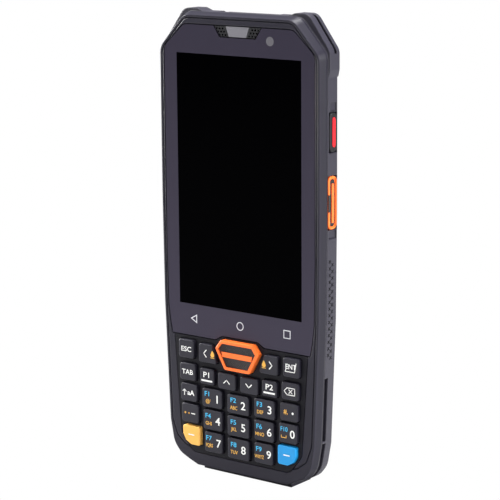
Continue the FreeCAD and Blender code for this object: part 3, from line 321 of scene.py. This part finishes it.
def cover_glass():
    """Grey outside the picture and black inside: inside is where x without its sign is below half
    the picture's width, and z is between the picture's foot and its top."""
    finish = Finish("cover glass", (0.020, 0.0180, 0.0250), 0.07, specular=0.005)
    inside_width = finish.x.size().below(PICTURE_HALF * MM)
    under_top = finish.z.below(PICTURE_TOP * MM)
    over_foot = finish.z.above((PICTURE_TOP - PICTURE_TALL) * MM)
    # The border is painted lighter towards its foot: painted light.
    border = finish.blend(finish.z.ramp(0.05, 0.15, 1.0, 0.0), BORDER_HIGH, BORDER_FOOT_PAINTED_LIGHT)
    picture = inside_width * under_top * over_foot
    finish.drive("Base Color", finish.blend(picture, border, PICTURE_BLACK))
    finish.drive("Roughness", finish.noise(60.0) * 0.03 + 0.05)
    return finish


def lens_finish(name, colour, roughness, coat, clouds, swing, least):
    """A small glossy window: roughness is the least one plus noise times the swing."""
    finish = Finish(name, colour, roughness, coat=coat)
    finish.drive("Roughness", finish.noise(clouds) * swing + least)
    return finish


glass = cover_glass()
lens = lens_finish("camera lens", (0.125, 0.120, 0.135), 0.10, 0.6, 400.0, 0.05, 0.07)
smoke = lens_finish("smoked window", (0.010, 0.006, 0.008), 0.06, 0.4, 150.0, 0.04, 0.04)
print("glass finishes ready")

# %% [markdown]
# ## Metals
#
# Screws, shield cans, the inner chassis and the charging contacts are metal. They differ in colour
# and in how far the tool marks spread the reflection, so one function makes them all.

# %% Metals
def metal(name, colour, roughness, marks):
    """Bare metal. Roughness swings by 0.1 each way, and marks three times as fine give relief."""
    finish = Finish(name, colour, roughness, metallic=1.0)
    finish.drive("Roughness", finish.noise(marks) * 0.2 + (roughness - 0.1))
    finish.bump(finish.noise(marks * 3.0), 0.00001, 0.3)
    return finish


steel = metal("screw steel", (0.16, 0.16, 0.165), 0.38, 900.0)
tin = metal("tinned can", (0.62, 0.62, 0.60), 0.34, 500.0)
alloy = metal("chassis alloy", (0.56, 0.56, 0.58), 0.42, 400.0)
gold = metal("contact gold", (0.80, 0.56, 0.22), 0.28, 900.0)
print("metals ready")


# %% [markdown]
# ## Dressing the solids
#
# Each CAD node takes one finish. The table names those that differ, and every other node is one
# of the dark keys.

# %% Dress the CAD nodes
dress = {
    "front_housing": case, "rear_housing": rear, "keypad_plate": plate, "touch_glass": glass,
    "display_module": module, "glass_gasket": foam, "speaker_grille": button_dark,
    "status_light_lens": status, "front_camera": module, "earpiece": module,
    "keypad_mat": flap_rubber, "keypad_board": mask, "mid_frame": alloy, "main_board": mask,
    "shield_cans": tin, "rear_camera": module, "rear_camera_window": smoke, "scan_engine": module,
    "scan_window": smoke, "vibration_motor": tin, "loudspeaker": module, "usb_port": tin,
    "usb_flap": flap_rubber, "usb_flap_pin": steel, "charging_contacts": gold,
    "housing_screws": steel, "battery_pack": wrap, "battery_cover": rear, "battery_latch": case,
    "power_button": button_dark, "scan_button_right": orange, "scan_button_left": orange,
    "volume_rocker": button_dark, "scan_key": orange, "key_yellow": yellow, "key_blue": blue,
}
for name, node in nodes.items():
    node.data.materials.clear()
    node.data.materials.append(dress.get(name, keycap).material)
print(len(dress), "nodes with their own finish, the rest are keycaps")


# %% [markdown]
# ## Thin solids
#
# Print, pads and bars are thin layers on a face. They could be painted with a picture on the
# surface, but a picture blurs up close, and it is lost where only the mesh is kept. So each is a
# thin closed solid: an outline, carried a little way out of its face, with a flat face on each
# end. Its back is sunk slightly into the face below, so that no gap shows and no two faces lie in
# one plane.

# %% From outlines to a solid
def make_piece(name, parts, finish, body):
    """One object from several parts, each its points and faces, riding on a body."""
    starts = np.cumsum([0] + [len(points) for points, faces in parts])
    points = np.concatenate([points for points, faces in parts])
    faces = [[i + start for i in face] for start, part in zip(starts.tolist(), parts)
             for face in part[1]]
    mesh = bpy.data.meshes.new(name)
    mesh.from_pydata(points.tolist(), [], faces)
    mesh.update()
    thing = bpy.data.objects.new(name, mesh)
    bpy.context.scene.collection.objects.link(thing)
    mesh.materials.append(finish.material)
    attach(thing, body)
    return thing


def skin(loops, around=False):
    """Points and faces over loops of one length: four-sided faces join each loop to the next. A
    flat face closes each end, unless the skin goes around, back to its first loop."""
    count, turns = len(loops[0]), len(loops)
    here = np.arange(count)
    after = (here + 1) % count
    faces = []
    for k in range(turns if around else turns - 1):
        low, high = k * count, (k + 1) % turns * count
        faces += np.stack([low + here, low + after, high + after, high + here], 1).tolist()
    if not around:
        faces += [here[::-1].tolist(), (high + here).tolist()]
    return np.concatenate(loops), faces


def turning(flat):
    """Twice the area inside an outline, which is below zero where it runs clockwise."""
    after = np.roll(flat, -1, axis=0)
    return np.sum(flat[:, 0] * after[:, 1] - after[:, 0] * flat[:, 1])


def front(outline, y):
    """An outline of (x, z) as points on the plane y of the front, wound to face outwards."""
    flat = np.asarray(outline, float)
    if turning(flat) < 0:
        flat = flat[::-1]
    return np.column_stack([flat[:, 0], np.full(len(flat), y), flat[:, 1]]) * MM


def slab(outline, y_back, y_front):
    """An outline carried straight from one plane of the front to another."""
    return skin([front(outline, y_back), front(outline, y_front)])


print("solids from outlines ready")

# %% [markdown]
# Every mark on the front is drawn from three outlines: a circle, a straight stroke and a ring
# between two outlines.

# %% Outlines on the front
SUNK, PROUD = 0.01, 0.02


def mark(outline, y=KEY_Y):
    """A printed layer on a front face: sunk a hundredth of a millimetre, proud two."""
    return slab(outline, y + SUNK, y - PROUD)


def band(outer, inner, y):
    """A printed ring between two outlines with the same number of corners."""
    return skin([front(outer, y + SUNK), front(outer, y - PROUD),
                 front(inner, y - PROUD), front(inner, y + SUNK)], around=True)


def stroke(x0, z0, x1, z1, width):
    """A straight line as a rectangle that goes half its width past each end."""
    along = np.array([x1 - x0, z1 - z0], float)
    along *= width / 2 / np.linalg.norm(along)
    side = np.array([-along[1], along[0]])
    start, end = np.array([x0, z0]) - along, np.array([x1, z1]) + along
    return [start + side, start - side, end - side, end + side]


def circle(x, z, radius, count=32):
    """Points at even turns: the middle plus the radius times the turn's cosine and sine."""
    turn = np.linspace(0, 2 * np.pi, count, endpoint=False)
    return np.column_stack([x + radius * np.cos(turn), z + radius * np.sin(turn)])


def drop(x, z, radius, count=24):
    """A flame-like drop: a circle whose upper half is pulled up, and narrowed as it rises."""
    turn = np.linspace(0, 2 * np.pi, count, endpoint=False)
    pull = 1.0 + 0.9 * np.clip(np.sin(turn), 0, 1) ** 3
    narrow = 1.0 - 0.15 * np.sin(turn)
    return np.column_stack([x + radius * np.cos(turn) * narrow, z + radius * np.sin(turn) * pull])


print("outlines ready")

# %% [markdown]
# ## Legends on the keys
#
# Each key has a white legend. The number keys also have a small blue one and an amber one, for
# what the coloured keys make them do. All are printed on the key, so each rides on its key's body
# and sinks with it.
#
# Letters come from Blender's own text, which is turned into a mesh before it is put in its place.
# Arrows, underlines and the like are strokes, because text would not match them.

# %% Ink and letters
LETTER_THICK, LETTER_PROUD = 0.03, 0.012
CAPITAL_SHARE = 0.72
ink_colours = {
    "white": (0.80, 0.80, 0.78),
    "cyan": (0.05, 0.46, 0.78),
    "amber": (0.78, 0.42, 0.07),
    "glass": (0.62, 0.62, 0.66),
}
inks = {word: moulded("ink " + word, colour, 0.5, 3500.0, 0.00001, 0.04)
        for word, colour in ink_colours.items()}


def letters(text, x, z, tall, wide, bold):
    """Text as a thin solid on the keys' front. tall is the height of a capital, which is that
    share of the text's size, wide stretches it sideways, and bold thickens its lines."""
    curve = bpy.data.curves.new("text", "FONT")
    curve.body = text
    curve.size = tall / CAPITAL_SHARE
    curve.align_x = "CENTER"
    curve.extrude = LETTER_THICK / 2
    curve.offset = bold
    curve.resolution_u = 4
    holder = bpy.data.objects.new("text", curve)
    bpy.context.scene.collection.objects.link(holder)
    bpy.context.view_layer.update()
    mesh = holder.to_mesh()
    flat = np.zeros(len(mesh.vertices) * 3)
    mesh.vertices.foreach_get("co", flat)
    faces = [list(face.vertices) for face in mesh.polygons]
    holder.to_mesh_clear()
    bpy.data.objects.remove(holder)
    across, high, out = flat.reshape(-1, 3).T
    middle = (high.min() + high.max()) / 2
    y = KEY_Y + LETTER_THICK / 2 - LETTER_PROUD - out
    return np.column_stack([x + across * wide, y, z + high - middle]) * MM, faces


print(len(inks), "inks")

# %% Where each key is, and a print on it
printed_keys = set()


def key_middle(node):
    """The middle of a key's box, as x and z in millimetres."""
    low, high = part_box(node)
    return (low.x + high.x) / 2 / MM, (low.z + high.z) / 2 / MM


def body_of_key(node):
    """key_enter rides on press_enter, and so on."""
    return "press_" + node[4:]


def legend(kind, node, ink, words=(), spots=(), lines=(), pen=0.3):
    """One print in one ink, in steps from the key's middle. A word is its text, two steps, the
    height of a capital, a stretch and a boldness. A spot is an outline's function, two steps, a
    radius and a number of corners. A line is a row of corners, drawn as wide as the pen."""
    x, z = key_middle(node)
    parts = [letters(text, x + dx, z + dz, *style) for text, dx, dz, *style in words]
    parts += [mark(shape(x + dx, z + dz, *style)) for shape, dx, dz, *style in spots]
    for corners in lines:
        places = [(x + dx, z + dz) for dx, dz in corners]
        parts += [mark(stroke(*a, *b, pen)) for a, b in zip(places, places[1:])]
    make_piece(kind + "_" + node, parts, inks[ink], body_of_key(node))
    printed_keys.add(node)


print("legend helper ready")

# %% Keys round the scan key
legend("legend", "key_escape", "white", [("ESC", 0, 0, 1.75, 1.15, 0.03)])
legend("legend", "key_tab", "white", [("TAB", 0, 0, 1.75, 1.1, 0.03)])
legend("legend", "key_enter", "white", [("ENT", 0, 0.45, 1.75, 1.0, 0.04)],
       lines=[[(-2.3, -1.35), (1.6, -1.35), (2.2, 1.8)], [(-2.3, -1.35), (-2.0, -0.6)]], pen=0.28)
for node, text in (("key_p1", "P1"), ("key_p2", "P2")):
    legend("legend", node, "white", [(text, 0, 0.65, 2.0, 1.2, 0.03)],
           lines=[[(-2.1, -1.45), (2.1, -1.45)]], pen=0.6)
arrows = {
    "key_up": [(-1.2, -0.6), (0, 0.6), (1.2, -0.6)],
    "key_down": [(-1.2, 0.6), (0, -0.6), (1.2, 0.6)],
    "key_left": [(-0.75, 1.2), (-1.85, 0), (-0.75, -1.2)],
    "key_right": [(0.75, 1.2), (1.85, 0), (0.75, -1.2)],
}
for node, corners in arrows.items():
    legend("legend", node, "white", lines=[corners], pen=0.36)
legend("legend", "key_backspace", "white", lines=[
    [(-2.3, 0), (-1.1, 1.2), (2.1, 1.2), (2.1, -1.2), (-1.1, -1.2), (-2.3, 0)],
    [(-0.3, 0.6), (1.0, -0.6)], [(-0.3, -0.6), (1.0, 0.6)]], pen=0.28)
legend("legend", "key_shift", "white", [("aA", 0.9, 0, 1.8, 1.1, 0.05)],
       lines=[[(-1.9, -1.0), (-1.9, 0.9)], [(-2.6, 0.3), (-1.9, 1.0), (-1.2, 0.3)]])
for node, at in (("key_left", 2.0), ("key_right", -1.6)):
    legend("mark", node, "amber", spots=[(drop, at, -0.15, 0.80)],
           lines=[[(at - 0.75, -1.2), (at + 0.75, -1.2)]], pen=0.22)
print(len(printed_keys), "keys printed so far")

# %% Number keys
small_prints = {
    "1": ("F1", "@/"), "2": ("F2", "ABC"), "3": ("F3", "DEF"), "4": ("F4", "GHI"), "5": ("F5", "JKL"),
    "6": ("F6", "MNO"), "7": ("F7", "PQRS"), "8": ("F8", "TUV"), "9": ("F9", "WXYZ"),
}
for digit, (upper, lower) in small_prints.items():
    node = "key_" + digit
    squeeze = 0.72 if len(lower) > 3 else 0.9
    legend("digit", node, "white", [(digit, 2.3, 0, 2.85, 1.08, 0.05)])
    legend("upper", node, "cyan", [(upper, -2.0, 1.45, 1.7, 1.15, 0.02)])
    legend("lower", node, "amber", [(lower, -1.75, -1.25, 1.3, squeeze, 0.02)])
legend("digit", "key_0", "white", [("0", 2.0, 0, 2.8, 1.08, 0.05)])
legend("upper", "key_0", "cyan", [("F10", -1.5, 1.4, 1.6, 0.95, 0.02)])
legend("lower", "key_0", "amber",
       lines=[[(-2.6, -0.9), (-2.6, -1.6), (-0.6, -1.6), (-0.6, -0.9)]], pen=0.24)
print(len(printed_keys), "keys printed so far")

# %% Dash, dot and the two coloured keys
legend("legend", "key_dash", "white", lines=[[(0.7, 0), (2.1, 0)]], pen=0.34)
legend("mark", "key_dash", "amber", [("*", -2.1, 0, 1.3, 1.0, 0.04)], [(circle, -0.5, 0, 0.28, 16)])
legend("legend", "key_dot", "white", spots=[(circle, 1.7, -0.1, 0.42, 20)])
legend("mark", "key_dot", "amber", [("#,", -1.2, 0, 1.7, 0.9, 0.03)])
for node in ("key_yellow", "key_blue"):
    legend("legend", node, "white", lines=[[(-1.1, 0.2), (1.1, 0.2)]], pen=0.4)
print("legends on", len(printed_keys), "keys")

# %% [markdown]
# ## Icons and camera on the glass
#
# Three pale icons for back, home and recent pages are printed under the picture. Each is a ring
# between an outline and the same outline drawn in towards its middle. The front camera shows as a
# small glossy disc in the border, top right.

# %% Icons under the picture
ICONS_Z = PICTURE_TOP - 92.2


def drawn_in(outline, middle, share):
    """An outline with each corner moved that share of the way to a middle."""
    outline = np.asarray(outline, float)
    return outline + (np.asarray(middle, float) - outline) * share


back_icon = [(-21.4, ICONS_Z), (-18.6, ICONS_Z + 1.6), (-18.6, ICONS_Z - 1.6)]
pages_icon = [(18.6, ICONS_Z - 1.45), (21.5, ICONS_Z - 1.45),
              (21.5, ICONS_Z + 1.45), (18.6, ICONS_Z + 1.45)]
icons = [
    band(back_icon, drawn_in(back_icon, (-19.53, ICONS_Z), 0.34), GLASS_Y),
    band(circle(0.2, ICONS_Z, 1.5), circle(0.2, ICONS_Z, 1.20), GLASS_Y),
    band(pages_icon, drawn_in(pages_icon, (20.05, ICONS_Z), 0.20), GLASS_Y),
]
make_piece("glass_icons", icons, inks["glass"], "case")
print(len(icons), "icons")

# %% Window of the front camera
CAMERA_X, CAMERA_Z, CAMERA_RADIUS, CAMERA_PROUD = 13.5, 152.6, 1.55, 0.015
camera_rim = circle(CAMERA_X, CAMERA_Z, CAMERA_RADIUS, 40)
camera_disc = slab(camera_rim, GLASS_Y + SUNK, GLASS_Y - CAMERA_PROUD)
make_piece("camera_window", [camera_disc], lens, "case")
print("camera window")


# %% [markdown]
# ## Scan key
#
# The large key under the glass is an orange ring round a dark knurled pad, with an orange bar
# across it. The ring is the CAD solid. The pad and the bar are other plastics, so each is a thin
# solid inside the ring and sinks with it. The knurl is two sets of ridges that cross: a zigzag of
# x + z and a zigzag of x - z. It is a bump, because the ridges are finer than half a millimetre.

# %% Knurled pad and bar
def mirrored(right_side):
    """A whole outline from its right side, listed from the top down."""
    return right_side + [(-x, z) for x, z in reversed(right_side)]


KNURL_FOLD, KNURL_GAIN = 0.45 * MM, 900.0
RIDGES = {"height": 0.0003, "strength": 0.8}
pad_plastic = moulded("knurled pad", (0.022, 0.019, 0.020), 0.5, height=0.0)
rising = (pad_plastic.x + pad_plastic.z).zigzag(KNURL_FOLD)
falling = (pad_plastic.x - pad_plastic.z).zigzag(KNURL_FOLD)
pad_plastic.bump(rising * KNURL_GAIN + falling * KNURL_GAIN, **RIDGES)

DISH_Y = GLASS_Y - 1.5
INTO_DISH, PAD_RISE, BAR_RISE = 0.02, 0.05, 0.32
pad_outline = mirrored([(6.35, 48.16), (7.88, 46.25), (4.75, 40.14)])
pad = slab(pad_outline, DISH_Y + INTO_DISH, DISH_Y - PAD_RISE)
make_piece("scan_pad", [pad], pad_plastic, "scan")
bar = slab(mirrored([(6.6, 45.3), (6.2, 43.5)]), DISH_Y + INTO_DISH, DISH_Y - BAR_RISE)
make_piece("scan_bar", [bar], orange, "scan")
print("scan key dressed")


# %% [markdown]
# ## Side buttons
#
# On the right side are a dark power button with a red bar and, below it, a scan button. On the
# left side is a second scan button. A scan button is an orange ring round a ribbed dark pad, with
# an orange stripe down its middle. Again the rings are CAD solids, and the pads, stripes and the
# red bar are thin solids on them. Their outlines are given as depth behind the glass and height.

# %% Outlines on the sides
BUTTON_X = 34.25


def side_slab(outline, side, x_in, x_out):
    """An outline of (depth behind the glass, z), carried outwards from one side plane to another.
    side is 1 for the right and -1 for the left, and sets which way the outline is wound."""
    flat = np.asarray(outline, float) + (GLASS_Y, 0.0)
    if (turning(flat) < 0) == (side > 0):
        flat = flat[::-1]
    return skin([np.column_stack([np.full(len(flat), side * x), flat]) * MM for x in (x_in, x_out)])


def slot_shape(near, far, z_low, z_high, count=12):
    """A half circle on top, two straight sides and a half circle below."""
    radius = (far - near) / 2
    middle = (far + near) / 2
    turn = np.linspace(0, np.pi, count)
    across, up = radius * np.cos(turn), radius * np.sin(turn)
    top = np.column_stack([middle + across, z_high - radius + up])
    low = np.column_stack([middle - across, z_low + radius - up])
    return np.concatenate([top, low])


red_outline = slot_shape(6.1, 7.7, 118.6, 128.4)
red_bar = side_slab(red_outline, 1, BUTTON_X - 0.02, BUTTON_X + 0.12)
make_piece("power_bar", [red_bar], red, "power")
print("power bar")

# %% Pads and stripes of the scan buttons
RIB_FOLD, RIB_GAIN = 0.5 * MM, 1200.0
trigger_plastic = moulded("trigger pad", (0.024, 0.021, 0.022), 0.5, height=0.0)
trigger_plastic.bump(trigger_plastic.z.zigzag(RIB_FOLD) * RIB_GAIN, **RIDGES)
SIDES = (("right", 1), ("left", -1))
DISH_X, PAD_X = BUTTON_X - 0.37, BUTTON_X - 0.30
for name, side in SIDES:
    body = "trigger_" + name
    pad = side_slab(slot_shape(4.95, 7.85, 92.2, 108.1), side, DISH_X, PAD_X)
    make_piece("trigger_pad_" + name, [pad], trigger_plastic, body)
    stripe = side_slab(slot_shape(5.85, 6.95, 93.4, 106.6), side, DISH_X, BUTTON_X + 0.02)
    make_piece("trigger_stripe_" + name, [stripe], orange, body)

# The dark pad breaks the front side of each orange ring
gap_outline = [(4.02, 97.2), (4.85, 97.2), (4.85, 103.0), (4.02, 103.0)]
for name, side in SIDES:
    gap = side_slab(gap_outline, side, PAD_X, BUTTON_X + 0.03)
    make_piece("trigger_gap_" + name, [gap], trigger_plastic, "trigger_" + name)
print("scan buttons dressed")

# %% [markdown]
# ## Side knurl
#
# Below the scan buttons the grip has two columns of small marks that read as dark crosses. On the
# real case they are probably pressed into the wall. The housing's mesh is left as it was packed,
# so nothing is cut into it here: each mark is a dark cross a tenth of a millimetre proud, and its
# dark colour is painted shade that stands for the shade inside a pressed-in mark. The wall
# bends, so a ray from outside finds it at each cross.

# %% Crosses on both sides
ROWS, ROW_PITCH, FIRST_ROW_Z = 15, 2.28, 80.4
COLUMN_DEPTHS = (5.35, 6.85)
CROSS_REACH, CROSS_WIDTH = 0.43, 0.23
CROSS_SUNK, CROSS_PROUD = 0.06, 0.10
RAY_START = 50.0
rear_wall = BVHTree.FromObject(nodes["rear_housing"], bpy.context.evaluated_depsgraph_get())


def wall_at(side, deep, z):
    """How far from the middle the side wall is, at a depth behind the glass and a height."""
    start = Vector((side * RAY_START, GLASS_Y + deep, z)) * MM
    place = rear_wall.ray_cast(start, Vector((-side, 0.0, 0.0)))[0]
    return abs(place.x) / MM


def cross(deep, z):
    """Two strokes, one rising and one falling."""
    return [stroke(deep - CROSS_REACH, z - CROSS_REACH * tilt,
                   deep + CROSS_REACH, z + CROSS_REACH * tilt, CROSS_WIDTH) for tilt in (1, -1)]


for name, side in SIDES:
    arms = []
    for column, deep in enumerate(COLUMN_DEPTHS):
        for row in range(ROWS):
            z = FIRST_ROW_Z - row * ROW_PITCH - column * ROW_PITCH / 2
            x = wall_at(side, deep, z)
            x_in, x_out = x - CROSS_SUNK, x + CROSS_PROUD
            arms += [side_slab(arm, side, x_in, x_out) for arm in cross(deep, z)]
    make_piece("side_knurl_" + name, arms, knurl_painted_shade, "case")
print(ROWS * len(COLUMN_DEPTHS), "crosses on each side")


# %% [markdown]
# ## Studio
#
# The photograph has a plain white background. White could come from more light, but that would
# bleach the object. So the floor and the world show pure white to the camera alone, and the
# object meets a grey floor and a weak even light. Soft boxes on the left, on the right, above and
# in front give the edges their long highlights.

# %% Floor and world
WHITE = (1.0, 1.0, 1.0, 1.0)
FLOOR_GREY = (0.45, 0.45, 0.45, 1.0)
FLOOR_REACH = 3
EVEN_LIGHT = 0.24


def shown_or_met(recipe, shown, met):
    """One surface for the camera and another for all other rays."""
    to_camera = recipe.node("ShaderNodeLightPath").outputs["Is Camera Ray"]
    mixed = recipe.node("ShaderNodeMixShader", sockets={0: to_camera, 1: met, 2: shown})
    return mixed.outputs[0]


floor_material = bpy.data.materials.new("floor")
floor_material.use_nodes = True
paint = Recipe(floor_material.node_tree)
paint.tree.nodes.remove(paint.tree.nodes["Principled BSDF"])
grey = paint.node("ShaderNodeBsdfDiffuse", sockets={"Color": FLOOR_GREY}).outputs[0]
glow = paint.node("ShaderNodeEmission", sockets={"Color": WHITE, "Strength": 1.0}).outputs[0]
paint.feed(paint.tree.nodes["Material Output"].inputs["Surface"], shown_or_met(paint, glow, grey))

corners = [(x * FLOOR_REACH, y * FLOOR_REACH, 0) for x, y in ((-1, -1), (1, -1), (1, 1), (-1, 1))]
floor_mesh = bpy.data.meshes.new("floor")
floor_mesh.from_pydata(corners, [], [(0, 1, 2, 3)])
floor_mesh.materials.append(floor_material)
floor = bpy.data.objects.new("floor", floor_mesh)
bpy.context.scene.collection.objects.link(floor)
floor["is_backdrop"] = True

world = bpy.data.worlds.new("studio")
bpy.context.scene.world = world
world.use_nodes = True
air = Recipe(world.node_tree)
air.tree.nodes.remove(air.tree.nodes["Background"])
dim, bright = [
    air.node("ShaderNodeBackground", sockets={"Color": WHITE, "Strength": strength}).outputs[0]
    for strength in (EVEN_LIGHT, 1.0)
]
air.feed(air.tree.nodes["World Output"].inputs["Surface"], shown_or_met(air, bright, dim))
print("floor and world")

# %% Soft boxes
LIT_SPOT = (0, 0, 0.08)


def soft_box(name, place, wide, tall, power):
    """A rectangular lamp at a place, turned towards the terminal. Power is in watts."""
    lamp = bpy.data.lights.new(name, "AREA")
    lamp.shape = "RECTANGLE"
    lamp.size = wide
    lamp.size_y = tall
    lamp.energy = power
    thing = bpy.data.objects.new(name, lamp)
    thing.location = place
    aim = Vector(LIT_SPOT) - Vector(place)
    thing.rotation_euler = aim.to_track_quat("-Z", "Y").to_euler()
    bpy.context.scene.collection.objects.link(thing)
    thing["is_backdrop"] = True


soft_box("left box", (-1.00, -0.02, 0.42), 0.30, 0.8, 40.0)
soft_box("front box", (-0.10, -1.00, 0.70), 0.5, 0.5, 4.0)
soft_box("right box", (0.98, 0.10, 0.35), 0.35, 0.8, 16.0)
soft_box("top box", (0.05, 0.06, 1.0), 0.5, 0.35, 22.0)
print("soft boxes ready")

# %% [markdown]
# ## Camera
#
# The camera stands where the photograph was taken from. It was found by least squares, outside
# this script: from the four corners of the picture, from pairs of points on the glass that lie
# evenly to its left and right, and from how round the camera disc and the home icon look. It gave
# three angles, a distance, the point aimed at and a focal length.

# %% Camera
TURN = math.radians(37.35)
LIFT = 0.20041
ROLL = -0.0072038
DISTANCE = 0.661755
FOCAL_PIXELS, PHOTO_PIXELS = 1963.02, 500
SENSOR = 36.0
target = Vector((4.708, GLASS_Y, 81.94)) * MM
back = Vector((math.sin(TURN) * math.cos(LIFT), -math.cos(TURN) * math.cos(LIFT), math.sin(LIFT)))
level = Vector((math.cos(TURN), math.sin(TURN), 0.0))
upright = back.cross(level)
right = level * math.cos(ROLL) + upright * math.sin(ROLL)
up = upright * math.cos(ROLL) - level * math.sin(ROLL)
camera_data = bpy.data.cameras.new("camera")
camera_data.lens = FOCAL_PIXELS / PHOTO_PIXELS * SENSOR
camera_data.sensor_width = SENSOR
camera_data.clip_start = 0.01
camera = bpy.data.objects.new("camera", camera_data)
turned = Matrix((right, up, back)).transposed().to_4x4()
camera.matrix_world = Matrix.Translation(target + back * DISTANCE) @ turned
bpy.context.scene.collection.objects.link(camera)
bpy.context.scene.camera = camera
bpy.context.scene.view_settings.view_transform = "Standard"
print("camera", [round(v, 4) for v in camera.location])

# %% [markdown]
# The sizes before and after dressing are kept under the names of two stages.

# %% Finish
size_report("finished", sizes)
